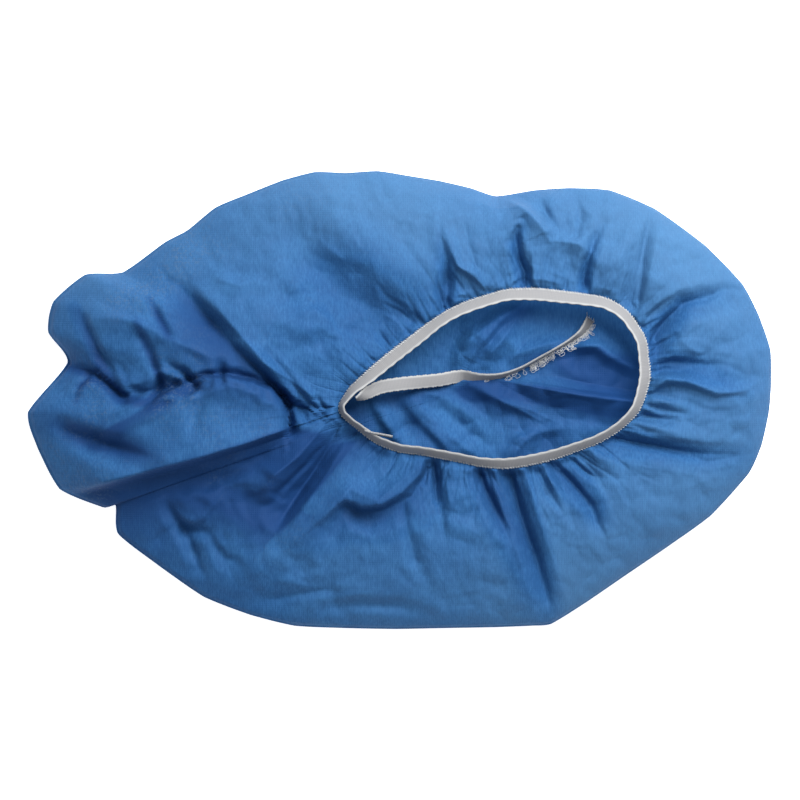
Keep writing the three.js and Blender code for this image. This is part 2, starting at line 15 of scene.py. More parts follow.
import bpy
import numpy as np
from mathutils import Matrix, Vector


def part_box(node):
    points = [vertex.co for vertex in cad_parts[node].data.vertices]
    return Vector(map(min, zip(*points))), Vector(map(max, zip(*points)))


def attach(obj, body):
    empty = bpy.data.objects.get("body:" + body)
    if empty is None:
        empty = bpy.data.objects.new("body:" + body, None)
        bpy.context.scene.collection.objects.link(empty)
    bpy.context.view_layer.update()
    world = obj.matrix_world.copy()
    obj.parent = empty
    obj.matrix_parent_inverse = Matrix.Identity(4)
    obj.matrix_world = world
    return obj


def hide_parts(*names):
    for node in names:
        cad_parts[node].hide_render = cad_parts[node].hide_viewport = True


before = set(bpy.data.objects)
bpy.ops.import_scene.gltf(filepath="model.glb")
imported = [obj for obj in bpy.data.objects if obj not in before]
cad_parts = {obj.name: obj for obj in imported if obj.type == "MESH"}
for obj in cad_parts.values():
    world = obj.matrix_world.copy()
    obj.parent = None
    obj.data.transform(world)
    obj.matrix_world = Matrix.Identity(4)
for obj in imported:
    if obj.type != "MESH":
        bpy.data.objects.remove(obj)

LOG = logging.getLogger("shoe_cover")

BODY = "root"
FABRIC_SLOT = "nonwoven_fabric"
TAPE_SLOT = "elastic_tape"

# The CAD model's own boxes give the length, width and mouth height.
FABRIC_LOW, FABRIC_HIGH = (np.array(corner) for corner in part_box("fabric_body"))
BAND_LOW, BAND_HIGH = (np.array(corner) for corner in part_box("elastic_band"))
LENGTH = float(FABRIC_HIGH[0] - FABRIC_LOW[0])
WIDTH = float(FABRIC_HIGH[1] - FABRIC_LOW[1])
MOUTH_HEIGHT = float(BAND_LOW[2] + BAND_HIGH[2]) / 2

# Height that the upper layer stands at, and the tape's section, as in the CAD model.
PUFF = 0.024
TAPE_WIDTH = 0.0065
TAPE_THICKNESS = 0.001
GAP = 0.0003
TURN = 2 * math.pi

# A crease falls away on each side as (1 - q) to this power.
CREASE_POWER = 1.25
UP = np.array([0.0, 0.0, 1.0])


class Crest(Enum):
    """How the line along the top of a fold is shaped."""

    ROUND = "round"
    SHARP = "sharp"


class Layer(Enum):
    """The two layers of the bag."""

    UPPER = "upper"
    SOLE = "sole"


@dataclass(frozen=True)
class Section:
    """One section of the upper layer, from the tape's centre line to the outer edge.

    The places are shares of the length and width, crown is a share of PUFF, and lean is how far the
    tape's outer side dips, in degrees.
    """

    rim_x: float
    rim_y: float
    edge_x: float
    edge_y: float
    crown: float
    lean: float


@dataclass(frozen=True)
class Fold:
    """A fold line: its points are shares of the length, the width and PUFF, below zero in a valley.

    left and right are how far it spreads on each side of its path, in shares of the width.
    """

    name: str
    crest: Crest
    left: float
    right: float
    path: tuple[tuple[float, float, float], ...]


@dataclass(frozen=True)
class TapePoint:
    """One point of a loose tape end: its place in shares, its own height where it hangs free, as a
    share of the mouth's height, and its roll in degrees, from 0 where it lies flat."""

    x: float
    y: float
    hang: float
    roll: float


# Anticlockwise from the smooth end.
SECTIONS: tuple[Section, ...] = (
    Section(0.3287, 0.0479, 0.5, 0.035, 0.86, 36),
    Section(0.3273, 0.0919, 0.499, 0.11, 0.86, 42),
    Section(0.324, 0.129, 0.483, 0.186, 0.88, 42),
    Section(0.3129, 0.1607, 0.461, 0.254, 0.9, 42),
    Section(0.2982, 0.1894, 0.411, 0.338, 0.92, 40),
    Section(0.2749, 0.2108, 0.344, 0.417, 0.92, 36),
    Section(0.2464, 0.2189, 0.283, 0.458, 0.92, 31),
    Section(0.2163, 0.2247, 0.229, 0.463, 0.92, 24),
    Section(0.1862, 0.2297, 0.182, 0.458, 0.92, 24),
    Section(0.162, 0.2302, 0.13, 0.445, 0.94, 29),
    Section(0.1421, 0.2278, 0.095, 0.463, 0.97, 32),
    Section(0.119, 0.2174, 0.055, 0.478, 1, 35),
    Section(0.0943, 0.2045, 0.014, 0.489, 1, 33),
    Section(0.0709, 0.1881, -0.029, 0.5, 1, 35),
    Section(0.0488, 0.1654, -0.073, 0.496, 1, 35),
    Section(0.0271, 0.138, -0.114, 0.498, 1, 23),
    Section(0.0059, 0.1116, -0.157, 0.48, 1, 20),
    Section(-0.014, 0.0866, -0.201, 0.452, 1, 17),
    Section(-0.0325, 0.062, -0.247, 0.421, 1, 22),
    Section(-0.0469, 0.0426, -0.285, 0.371, 1, 35),
    Section(-0.0588, 0.0272, -0.316, 0.344, 1.02, 48),
    Section(-0.0666, 0.0145, -0.372, 0.279, 1.15, 57),
    Section(-0.071, 0.005, -0.423, 0.274, 1.28, 62),
    Section(-0.0737, -0.0014, -0.466, 0.215, 1.3, 65),
    Section(-0.0768, -0.0079, -0.473, 0.149, 1.28, 67),
    Section(-0.078, -0.015, -0.446, 0.083, 1.22, 68),
    Section(-0.0769, -0.0231, -0.5, -0.026, 1.22, 69),
    Section(-0.0746, -0.0305, -0.487, -0.105, 1.12, 70),
    Section(-0.0707, -0.0369, -0.457, -0.195, 1, 70),
    Section(-0.066, -0.044, -0.398, -0.235, 0.86, 70),
    Section(-0.0604, -0.051, -0.382, -0.228, 0.8, 70),
    Section(-0.0539, -0.0586, -0.379, -0.292, 0.78, 68),
    Section(-0.0444, -0.0703, -0.322, -0.364, 0.8, 64),
    Section(-0.0331, -0.0834, -0.263, -0.43, 0.84, 61),
    Section(-0.0173, -0.0952, -0.201, -0.469, 0.88, 57),
    Section(0.0027, -0.1054, -0.141, -0.493, 0.9, 57),
    Section(0.0278, -0.11, -0.073, -0.498, 0.92, 57),
    Section(0.0546, -0.1177, -0.006, -0.5, 0.92, 54),
    Section(0.0806, -0.1256, 0.061, -0.498, 0.92, 54),
    Section(0.1079, -0.1346, 0.129, -0.496, 0.92, 51),
    Section(0.135, -0.138, 0.176, -0.493, 0.92, 44),
    Section(0.1549, -0.1359, 0.204, -0.489, 0.92, 42),
    Section(0.1818, -0.1283, 0.25, -0.443, 0.92, 42),
    Section(0.2085, -0.1176, 0.303, -0.384, 0.9, 46),
    Section(0.2352, -0.1031, 0.361, -0.32, 0.9, 51),
    Section(0.2622, -0.087, 0.419, -0.252, 0.88, 54),
    Section(0.2856, -0.0663, 0.47, -0.16, 0.86, 56),
    Section(0.3054, -0.0399, 0.487, -0.099, 0.86, 55),
    Section(0.319, -0.0098, 0.497, -0.026, 0.86, 49),
)


UPPER_FOLDS: tuple[Fold, ...] = (
    Fold("seam pucker line", Crest.SHARP, 0.023, 0.027, (
        (-0.454, 0.079, -0.167), (-0.43, 0.068, -0.208), (-0.407, 0.057, -0.229), (-0.39, 0.037, -0.25),
        (-0.371, 0.007, -0.25), (-0.343, 0.018, -0.208), (-0.318, 0.026, -0.25), (-0.295, 0.029, -0.208),
        (-0.273, 0.031, -0.208), (-0.239, 0.053, -0.167), (-0.215, 0.053, -0.167), (-0.185, 0.035, -0.167),
        (-0.155, 0.004, -0.167), (-0.134, -0.018, -0.125), (-0.083, -0.013, -0.125),
    )),
    Fold("valley beside the upper lobe", Crest.SHARP, 0.027, 0.099, (
        (-0.298, 0.252, -0.062), (-0.275, 0.213, -0.208), (-0.252, 0.171, -0.333), (-0.225, 0.121, -0.292),
        (-0.185, 0.057, -0.188), (-0.134, -0.004, -0.125),
    )),
    Fold("body edge over that valley", Crest.SHARP, 0.117, 0.023, (
        (-0.275, 0.257, 0.021), (-0.252, 0.217, 0.125), (-0.231, 0.175, 0.167), (-0.204, 0.125, 0.167),
        (-0.158, 0.044, 0.104), (-0.114, -0.013, 0.042),
    )),
    Fold("body ridge", Crest.ROUND, 0.117, 0.117, (
        (-0.127, 0.456, 0.083), (-0.067, 0.362, 0.208), (0.001, 0.274, 0.208), (0.048, 0.219, 0.083),
    )),
    Fold("body hollow", Crest.ROUND, 0.09, 0.09, (
        (-0.134, 0.362, -0.083), (-0.083, 0.252, -0.25), (-0.02, 0.164, -0.208), (-0.002, 0.121, -0.083),
    )),
    Fold("ridge by the corner", Crest.ROUND, 0.068, 0.068, (
        (-0.221, 0.219, 0.083), (-0.174, 0.186, 0.167), (-0.12, 0.143, 0.167), (-0.073, 0.022, 0.042),
    )),
    Fold("overlap at the top notch", Crest.SHARP, 0.018, 0.072, (
        (0.131, 0.441, 0), (0.151, 0.432, 0.125), (0.169, 0.417, 0.188), (0.189, 0.39, 0.188),
        (0.2, 0.368, 0.167), (0.203, 0.34, 0),
    )),
    Fold("top valley", Crest.SHARP, 0.027, 0.027, (
        (0.17, 0.241, -0.167), (0.162, 0.303, -0.167), (0.154, 0.344, -0.104), (0.173, 0.41, 0),
    )),
    Fold("top ridge", Crest.SHARP, 0.036, 0.041, (
        (0.122, 0.237, 0.125), (0.102, 0.274, 0.167), (0.075, 0.294, 0.167), (0.059, 0.351, 0.125),
        (0.055, 0.428, 0),
    )),
    Fold("top left valley", Crest.SHARP, 0.036, 0.036, (
        (0.064, 0.215, -0.167), (0.064, 0.263, -0.167), (0.052, 0.362, 0),
    )),
    Fold("top right valley", Crest.SHARP, 0.027, 0.023, (
        (0.246, 0.232, -0.125), (0.248, 0.281, -0.125), (0.259, 0.325, -0.083), (0.274, 0.39, 0),
    )),
    Fold("top right small ridge", Crest.SHARP, 0.023, 0.027, (
        (0.196, 0.344, 0), (0.219, 0.349, 0.083), (0.239, 0.34, 0.104), (0.259, 0.322, 0),
    )),
    Fold("top middle crease", Crest.SHARP, 0.023, 0.023, (
        (0.239, 0.443, 0), (0.244, 0.39, -0.083), (0.234, 0.344, 0),
    )),
    Fold("top right ridge", Crest.ROUND, 0.045, 0.045, (
        (0.277, 0.232, 0.125), (0.289, 0.303, 0.125), (0.334, 0.412, 0),
    )),
    Fold("toe corner valley", Crest.SHARP, 0.041, 0.027, (
        (0.31, 0.208, -0.167), (0.32, 0.285, -0.167), (0.33, 0.355, -0.125), (0.337, 0.412, 0),
    )),
    Fold("toe upper valley", Crest.SHARP, 0.032, 0.054, (
        (0.338, 0.132, -0.208), (0.356, 0.171, -0.25), (0.38, 0.211, -0.208), (0.423, 0.23, -0.125),
        (0.469, 0.246, 0),
    )),
    Fold("toe ridge", Crest.SHARP, 0.023, 0.041, (
        (0.344, 0.026, 0.083), (0.359, 0.046, 0.167), (0.391, 0.037, 0.167), (0.429, 0.015, 0.146),
        (0.469, 0.02, 0.083), (0.483, 0.048, 0),
    )),
    Fold("toe hollow", Crest.ROUND, 0.036, 0.036, (
        (0.344, 0.077, -0.125), (0.391, 0.075, -0.125), (0.438, 0.057, 0),
    )),
    Fold("toe crease", Crest.SHARP, 0.018, 0.023, (
        (0.334, 0.09, -0.083), (0.353, 0.112, -0.083), (0.367, 0.125, 0),
    )),
    Fold("toe lower valley", Crest.SHARP, 0.027, 0.05, (
        (0.283, -0.083, -0.167), (0.33, -0.096, -0.188), (0.404, -0.116, -0.167), (0.469, -0.121, 0),
    )),
    Fold("toe lower ridge", Crest.ROUND, 0.036, 0.036, (
        (0.313, -0.055, 0.083), (0.364, -0.072, 0.125), (0.425, -0.088, 0),
    )),
    Fold("lower toe crease", Crest.SHARP, 0.018, 0.018, (
        (0.321, -0.031, -0.083), (0.345, -0.042, -0.083), (0.375, -0.057, 0),
    )),
    Fold("bottom right valley", Crest.SHARP, 0.032, 0.032, (
        (0.207, -0.136, -0.167), (0.239, -0.191, -0.208), (0.26, -0.23, -0.167), (0.275, -0.298, 0),
    )),
    Fold("bottom right branch", Crest.SHARP, 0.018, 0.023, (
        (0.227, -0.125, -0.125), (0.254, -0.16, -0.125), (0.274, -0.171, 0),
    )),
    Fold("bottom valley", Crest.SHARP, 0.036, 0.036, (
        (0.15, -0.162, -0.25), (0.162, -0.25, -0.333), (0.184, -0.351, -0.292), (0.196, -0.417, -0.167),
        (0.205, -0.474, 0),
    )),
    Fold("bottom middle branch", Crest.SHARP, 0.023, 0.023, (
        (0.18, -0.149, -0.125), (0.196, -0.206, -0.125), (0.22, -0.248, 0),
    )),
    Fold("bottom left valley", Crest.SHARP, 0.027, 0.036, (
        (0.108, -0.156, -0.208), (0.118, -0.197, -0.208), (0.134, -0.246, -0.208), (0.164, -0.327, 0),
    )),
    Fold("bottom tuck", Crest.SHARP, 0.027, 0.027, (
        (0.044, -0.138, -0.208), (0.048, -0.197, -0.167), (0.059, -0.307, 0),
    )),
    Fold("long bottom crease", Crest.ROUND, 0.032, 0.032, (
        (0.006, -0.219, 0), (0.02, -0.346, -0.083), (0.055, -0.445, 0),
    )),
    Fold("long diagonal ridge", Crest.SHARP, 0.045, 0.072, (
        (0.041, -0.132, 0.125), (0.006, -0.171, 0.167), (-0.029, -0.219, 0.208), (-0.067, -0.193, 0.208),
        (-0.083, -0.224, 0.208), (-0.114, -0.268, 0.167), (-0.174, -0.355, 0.104), (-0.231, -0.43, 0),
    )),
    Fold("hollow under the diagonal", Crest.ROUND, 0.036, 0.036, (
        (0.001, -0.246, -0.083), (-0.037, -0.265, -0.167),
        (-0.073, -0.246, -0.125), (-0.094, -0.281, -0.042),
    )),
    Fold("corner roll", Crest.SHARP, 0.054, 0.05, (
        (-0.087, -0.022, 0.125), (-0.107, -0.066, 0.292), (-0.134, -0.121, 0.375), (-0.168, -0.164, 0.375),
        (-0.181, -0.197, 0.083),
    )),
    Fold("valley below the roll", Crest.SHARP, 0.027, 0.054, (
        (-0.091, -0.092, -0.167), (-0.11, -0.143, -0.333), (-0.134, -0.2, -0.375), (-0.154, -0.25, -0.292),
        (-0.166, -0.287, -0.042),
    )),
    Fold("hollow under the flap", Crest.ROUND, 0.05, 0.05, (
        (-0.336, -0.175, -0.083), (-0.269, -0.171, -0.125),
        (-0.215, -0.186, -0.125), (-0.185, -0.224, -0.125),
    )),
    Fold("first small pucker", Crest.SHARP, 0.027, 0.032, (
        (-0.318, -0.211, 0), (-0.306, -0.237, -0.125), (-0.287, -0.287, -0.167), (-0.273, -0.333, -0.125),
        (-0.26, -0.386, 0),
    )),
    Fold("second small pucker", Crest.SHARP, 0.023, 0.027, (
        (-0.338, -0.329, 0), (-0.322, -0.307, -0.104), (-0.301, -0.283, 0),
    )),
    Fold("third small pucker", Crest.SHARP, 0.023, 0.023, (
        (-0.29, -0.283, -0.083), (-0.263, -0.289, -0.125), (-0.246, -0.276, 0),
    )),
    Fold("long low hollow", Crest.SHARP, 0.032, 0.036, (
        (-0.234, -0.441, 0), (-0.161, -0.434, -0.083), (-0.091, -0.41, -0.042), (-0.126, -0.379, -0.083),
        (-0.164, -0.351, 0),
    )),
    Fold("low edge crease", Crest.ROUND, 0.027, 0.023, (
        (-0.15, -0.467, 0), (-0.067, -0.447, -0.083), (0.001, -0.452, -0.083), (0.057, -0.478, 0),
    )),
    Fold("upper lobe first pleat", Crest.SHARP, 0.014, 0.027, (
        (-0.433, 0.208, 0), (-0.422, 0.171, -0.104), (-0.406, 0.116, -0.125), (-0.387, 0.061, -0.146),
        (-0.368, 0.013, -0.125),
    )),
    Fold("upper lobe ridge", Crest.SHARP, 0.045, 0.041, (
        (-0.406, 0.184, 0.042), (-0.379, 0.178, 0.083), (-0.353, 0.169, 0.104), (-0.316, 0.14, 0.125),
        (-0.269, 0.105, 0.125), (-0.239, 0.083, 0.083),
    )),
    Fold("upper lobe second pleat", Crest.SHARP, 0.014, 0.023, (
        (-0.353, 0.164, 0), (-0.345, 0.138, -0.125), (-0.333, 0.101, -0.167), (-0.321, 0.044, -0.125),
    )),
    Fold("upper lobe third pleat", Crest.SHARP, 0.014, 0.018, (
        (-0.333, 0.221, 0), (-0.325, 0.186, -0.104), (-0.313, 0.149, -0.125), (-0.301, 0.127, 0),
    )),
    Fold("upper lobe fourth pleat", Crest.SHARP, 0.018, 0.023, (
        (-0.312, 0.083, -0.083), (-0.298, 0.066, -0.167), (-0.282, 0.048, -0.167), (-0.271, 0.031, -0.083),
    )),
    Fold("upper lobe last pleat", Crest.SHARP, 0.018, 0.018, (
        (-0.244, 0.096, 0), (-0.239, 0.075, -0.167), (-0.238, 0.046, -0.125),
    )),
    Fold("lower lobe hollow", Crest.ROUND, 0.036, 0.054, (
        (-0.476, -0.039, -0.042), (-0.454, -0.057, -0.125),
        (-0.419, -0.081, -0.167), (-0.376, -0.103, -0.167),
        (-0.322, -0.127, 0),
    )),
    Fold("lower lobe tuck", Crest.SHARP, 0.023, 0.018, (
        (-0.316, -0.004, -0.083), (-0.349, -0.024, -0.125),
        (-0.379, -0.046, -0.125), (-0.406, -0.083, -0.083),
    )),
    Fold("lower lobe curl", Crest.SHARP, 0.014, 0.018, (
        (-0.406, 0.053, -0.042), (-0.422, 0.044, -0.104), (-0.433, 0.026, -0.104), (-0.438, 0, 0),
    )),
    Fold("flap top ridge", Crest.ROUND, 0.023, 0.063, (
        (-0.264, 0.022, 0.083), (-0.231, 0.042, 0.167), (-0.168, 0.015, 0.125),
    )),
    Fold("flap crease", Crest.SHARP, 0.027, 0.027, (
        (-0.263, 0.022, -0.083), (-0.271, -0.011, -0.125), (-0.277, -0.044, -0.125), (-0.282, -0.092, 0),
    )),
    Fold("flap folded edge", Crest.SHARP, 0.189, 0.014, (
        (-0.457, -0.202, 0.292), (-0.423, -0.191, 0.417), (-0.383, -0.175, 0.521), (-0.349, -0.16, 0.562),
        (-0.314, -0.145, 0.583), (-0.282, -0.132, 0.583), (-0.242, -0.112, 0.542), (-0.201, -0.092, 0.458),
        (-0.172, -0.075, 0.375), (-0.146, -0.061, 0.125),
    )),
    Fold("flap end", Crest.SHARP, 0.018, 0.023, (
        (-0.146, -0.068, -0.167), (-0.149, -0.039, -0.25), (-0.151, -0.015, -0.25), (-0.161, 0.009, -0.125),
    )),
    Fold("left body crease", Crest.SHARP, 0.023, 0.032, (
        (-0.252, 0.265, 0), (-0.234, 0.259, 0.125), (-0.215, 0.25, 0.146), (-0.193, 0.261, 0.125),
        (-0.178, 0.276, 0),
    )),
    Fold("middle body crease", Crest.ROUND, 0.032, 0.032, (
        (-0.137, 0.099, 0), (-0.11, 0.129, -0.104), (-0.073, 0.092, 0),
    )),
    Fold("mouth side crease", Crest.SHARP, 0.023, 0.023, (
        (0.017, 0.171, -0.125), (0.001, 0.193, -0.125), (-0.025, 0.213, 0),
    )),
    Fold("mouth side branch", Crest.SHARP, 0.018, 0.023, (
        (-0.01, 0.112, -0.125), (-0.022, 0.134, -0.125), (-0.028, 0.156, 0),
    )),
    Fold("top edge crease", Crest.SHARP, 0.018, 0.018, (
        (0.19, 0.441, 0), (0.196, 0.408, -0.083), (0.201, 0.373, 0),
    )),
    Fold("facet ridge", Crest.SHARP, 0.014, 0.032, (
        (-0.41, 0.175, 0.042), (-0.379, 0.18, 0.067), (-0.351, 0.169, 0.067),
    )),
    Fold("facet corner", Crest.SHARP, 0.027, 0.014, (
        (-0.351, 0.169, 0.058), (-0.341, 0.121, 0.033), (-0.336, 0.083, 0),
    )),
    Fold("lobe overlap", Crest.SHARP, 0.036, 0.01, (
        (-0.446, 0.081, 0.062), (-0.427, 0.079, 0.1), (-0.408, 0.068, 0.125), (-0.39, 0.046, 0.142),
        (-0.373, 0.022, 0.125),
    )),
    Fold("shade under the lobe overlap", Crest.SHARP, 0.009, 0.018, (
        (-0.452, 0.075, -0.062), (-0.427, 0.07, -0.104), (-0.408, 0.059, -0.125), (-0.391, 0.037, -0.146),
        (-0.375, 0.013, -0.125),
    )),
    Fold("lower lobe curl", Crest.SHARP, 0.023, 0.014, (
        (-0.433, 0.004, 0.025), (-0.425, 0.035, 0.067), (-0.406, 0.05, 0.075), (-0.39, 0.035, 0.058),
        (-0.379, 0.018, 0.025),
    )),
    Fold("crease over the curl", Crest.SHARP, 0.014, 0.009, (
        (-0.435, -0.004, -0.021), (-0.429, 0.031, -0.062), (-0.417, 0.05, -0.058),
    )),
    Fold("small tuck", Crest.SHARP, 0.014, 0.014, (
        (-0.371, 0.061, -0.062), (-0.365, 0.031, -0.104), (-0.352, 0.02, -0.104), (-0.34, 0.013, -0.062),
    )),
    Fold("dark tuck", Crest.SHARP, 0.018, 0.018, (
        (-0.314, 0.057, -0.062), (-0.321, 0.035, -0.188), (-0.328, 0.013, -0.208), (-0.336, -0.004, -0.125),
        (-0.349, -0.015, -0.042),
    )),
    Fold("ridge over the dark tuck", Crest.SHARP, 0.014, 0.014, (
        (-0.341, 0.044, 0.042), (-0.333, 0.057, 0.083), (-0.32, 0.061, 0.083), (-0.306, 0.053, 0.062),
    )),
    Fold("first pucker tuck", Crest.SHARP, 0.014, 0.011, (
        (-0.309, 0.046, -0.083), (-0.295, 0.029, -0.125), (-0.282, 0.02, -0.083),
    )),
    Fold("second pucker tuck", Crest.SHARP, 0.014, 0.014, (
        (-0.29, 0.066, -0.062), (-0.282, 0.046, -0.125), (-0.273, 0.029, -0.125),
    )),
    Fold("pucker ridge", Crest.SHARP, 0.014, 0.014, (
        (-0.301, 0.057, 0.062), (-0.287, 0.039, 0.083), (-0.277, 0.035, 0.042),
    )),
    Fold("lower lobe bend", Crest.SHARP, 0.014, 0.036, (
        (-0.406, -0.083, 0.058), (-0.392, -0.064, 0.117), (-0.376, -0.046, 0.133), (-0.355, -0.029, 0.117),
        (-0.336, -0.015, 0.1),
    )),
    Fold("lower lobe facet", Crest.SHARP, 0.014, 0.054, (
        (-0.468, -0.057, -0.021), (-0.414, -0.088, -0.117),
        (-0.376, -0.103, -0.133), (-0.328, -0.129, -0.021),
    )),
    Fold("left tip crease", Crest.SHARP, 0.018, 0.018, (
        (-0.493, -0.029, 0.033), (-0.473, -0.011, 0.05), (-0.454, 0.004, 0.033), (-0.43, 0.018, 0.012),
    )),
    Fold("flap edge", Crest.SHARP, 0.01, 0.081, (
        (-0.333, -0.009, 0.058), (-0.314, 0.009, 0.142), (-0.293, 0.029, 0.192), (-0.262, 0.046, 0.233),
        (-0.228, 0.048, 0.25), (-0.199, 0.037, 0.25), (-0.174, 0.02, 0.25), (-0.161, -0.002, 0.233),
        (-0.154, -0.033, 0.208), (-0.153, -0.061, 0.125),
    )),
    Fold("shade round the flap", Crest.SHARP, 0.014, 0.009, (
        (-0.322, 0.011, -0.042), (-0.293, 0.035, -0.083), (-0.26, 0.055, -0.083), (-0.228, 0.057, -0.083),
        (-0.196, 0.046, -0.083), (-0.17, 0.029, -0.083), (-0.155, 0.002, -0.083), (-0.149, -0.033, -0.1),
        (-0.147, -0.061, -0.062),
    )),
    Fold("flap upright crease", Crest.SHARP, 0.023, 0.018, (
        (-0.264, 0.039, 0.025), (-0.277, -0.004, 0.05), (-0.283, -0.055, 0.042), (-0.286, -0.088, 0.012),
    )),
    Fold("first corner tuck", Crest.SHARP, 0.016, 0.014, (
        (-0.209, 0.11, -0.042), (-0.185, 0.061, -0.125), (-0.165, 0.02, -0.167), (-0.146, -0.009, -0.167),
        (-0.127, -0.018, -0.125),
    )),
    Fold("second corner tuck", Crest.SHARP, 0.014, 0.016, (
        (-0.177, 0.105, -0.042), (-0.154, 0.061, -0.125), (-0.134, 0.018, -0.167), (-0.118, -0.009, -0.146),
        (-0.104, -0.024, -0.083),
    )),
    Fold("first corner ridge", Crest.SHARP, 0.014, 0.014, (
        (-0.194, 0.099, 0.042), (-0.168, 0.048, 0.083), (-0.142, 0.007, 0.083),
    )),
    Fold("second corner ridge", Crest.SHARP, 0.018, 0.014, (
        (-0.217, 0.121, 0.062), (-0.185, 0.083, 0.083), (-0.147, 0.044, 0.092), (-0.12, 0.009, 0.083),
    )),
    Fold("third corner tuck", Crest.SHARP, 0.011, 0.011, (
        (-0.15, -0.009, -0.083), (-0.146, -0.044, -0.146), (-0.15, -0.07, -0.083),
    )),
    Fold("fourth corner tuck", Crest.SHARP, 0.011, 0.011, (
        (-0.134, -0.022, -0.104), (-0.122, -0.046, -0.146), (-0.104, -0.031, -0.125),
    )),
    Fold("fifth corner tuck", Crest.SHARP, 0.011, 0.011, (
        (-0.11, 0.004, -0.083), (-0.099, -0.018, -0.125), (-0.088, -0.015, -0.083),
    )),
    Fold("third corner ridge", Crest.SHARP, 0.014, 0.014, (
        (-0.139, -0.033, 0.062), (-0.13, -0.061, 0.083), (-0.112, -0.044, 0.062),
    )),
    Fold("crest under the flap", Crest.SHARP, 0.023, 0.072, (
        (-0.252, -0.219, 0.062), (-0.24, -0.191, 0.125), (-0.215, -0.178, 0.142), (-0.193, -0.18, 0.142),
        (-0.177, -0.197, 0.125),
    )),
    Fold("low zigzag", Crest.SHARP, 0.016, 0.027, (
        (-0.314, -0.232, -0.021), (-0.303, -0.259, -0.062),
        (-0.29, -0.281, -0.075), (-0.273, -0.283, -0.075),
        (-0.258, -0.265, -0.062), (-0.251, -0.243, -0.042),
    )),
    Fold("low zigzag ridge", Crest.SHARP, 0.018, 0.014, (
        (-0.306, -0.23, 0.033), (-0.293, -0.257, 0.05), (-0.279, -0.265, 0.05), (-0.264, -0.252, 0.042),
    )),
    Fold("low crease", Crest.SHARP, 0.018, 0.014, (
        (-0.344, -0.327, -0.021), (-0.325, -0.298, -0.05), (-0.306, -0.283, -0.05),
    )),
    Fold("first low pleat", Crest.SHARP, 0.014, 0.027, (
        (-0.287, -0.294, -0.042), (-0.278, -0.333, -0.083),
        (-0.269, -0.368, -0.083), (-0.263, -0.39, -0.021),
    )),
    Fold("second low pleat", Crest.SHARP, 0.014, 0.032, (
        (-0.256, -0.289, -0.033), (-0.247, -0.318, -0.083),
        (-0.234, -0.344, -0.083), (-0.217, -0.353, -0.025),
    )),
    Fold("low top ridge", Crest.SHARP, 0.023, 0.014, (
        (-0.29, -0.219, 0.033), (-0.277, -0.206, 0.058), (-0.26, -0.213, 0.05), (-0.252, -0.23, 0.025),
    )),
    Fold("first faint low line", Crest.SHARP, 0.036, 0.014, (
        (-0.172, -0.342, 0.008), (-0.134, -0.377, 0.037), (-0.091, -0.408, 0.025),
    )),
    Fold("second faint low line", Crest.SHARP, 0.018, 0.018, (
        (-0.234, -0.441, 0), (-0.174, -0.432, -0.033), (-0.094, -0.412, -0.033),
    )),
    Fold("loop fold", Crest.SHARP, 0.011, 0.054, (
        (0.033, -0.127, 0.083), (0.026, -0.162, 0.146), (0.003, -0.2, 0.167), (-0.025, -0.226, 0.167),
        (-0.05, -0.232, 0.15), (-0.072, -0.215, 0.125), (-0.091, -0.237, 0.083), (-0.11, -0.268, 0.042),
    )),
    Fold("shade under the loop fold", Crest.SHARP, 0.027, 0.011, (
        (0.038, -0.154, -0.083), (0.017, -0.208, -0.104), (-0.02, -0.239, -0.125), (-0.053, -0.243, -0.125),
        (-0.073, -0.228, -0.083),
    )),
    Fold("first tape tuck", Crest.SHARP, 0.011, 0.011, (
        (0.033, -0.121, -0.083), (0.037, -0.149, -0.167), (0.033, -0.18, -0.104),
    )),
    Fold("second tape tuck", Crest.SHARP, 0.014, 0.014, (
        (0.045, -0.127, -0.083), (0.049, -0.167, -0.167), (0.05, -0.219, -0.083),
    )),
    Fold("tape puff", Crest.SHARP, 0.018, 0.023, (
        (0.055, -0.158, 0.083), (0.067, -0.14, 0.108), (0.085, -0.136, 0.108), (0.103, -0.149, 0.083),
    )),
    Fold("first bottom pleat", Crest.SHARP, 0.014, 0.018, (
        (0.106, -0.145, -0.104), (0.112, -0.184, -0.146), (0.123, -0.226, -0.146), (0.141, -0.281, -0.104),
        (0.154, -0.32, -0.021),
    )),
    Fold("second bottom pleat", Crest.SHARP, 0.011, 0.014, (
        (0.12, -0.145, -0.083), (0.134, -0.193, -0.092), (0.146, -0.23, -0.021),
    )),
    Fold("third bottom pleat", Crest.SHARP, 0.016, 0.036, (
        (0.145, -0.154, -0.125), (0.153, -0.197, -0.146), (0.165, -0.252, -0.125), (0.182, -0.329, -0.104),
        (0.196, -0.406, -0.083), (0.204, -0.465, -0.042),
    )),
    Fold("fourth bottom pleat", Crest.SHARP, 0.014, 0.014, (
        (0.184, -0.143, -0.083), (0.2, -0.197, -0.083), (0.221, -0.25, -0.021),
    )),
    Fold("fifth bottom pleat", Crest.SHARP, 0.018, 0.023, (
        (0.005, -0.219, -0.025), (0.011, -0.285, -0.05), (0.022, -0.351, -0.05),
    )),
    Fold("sixth bottom pleat", Crest.SHARP, 0.014, 0.014, (
        (0.055, -0.219, -0.025), (0.059, -0.274, -0.05), (0.061, -0.307, -0.012),
    )),
    Fold("toe top crease", Crest.SHARP, 0.011, 0.023, (
        (0.32, 0.219, -0.062), (0.325, 0.285, -0.075), (0.33, 0.351, -0.067), (0.337, 0.406, -0.025),
    )),
    Fold("toe crease to the edge", Crest.SHARP, 0.023, 0.014, (
        (0.38, 0.211, -0.042), (0.413, 0.221, -0.067), (0.429, 0.237, -0.058), (0.445, 0.246, -0.05),
        (0.461, 0.239, -0.033),
    )),
    Fold("toe knot", Crest.SHARP, 0.014, 0.027, (
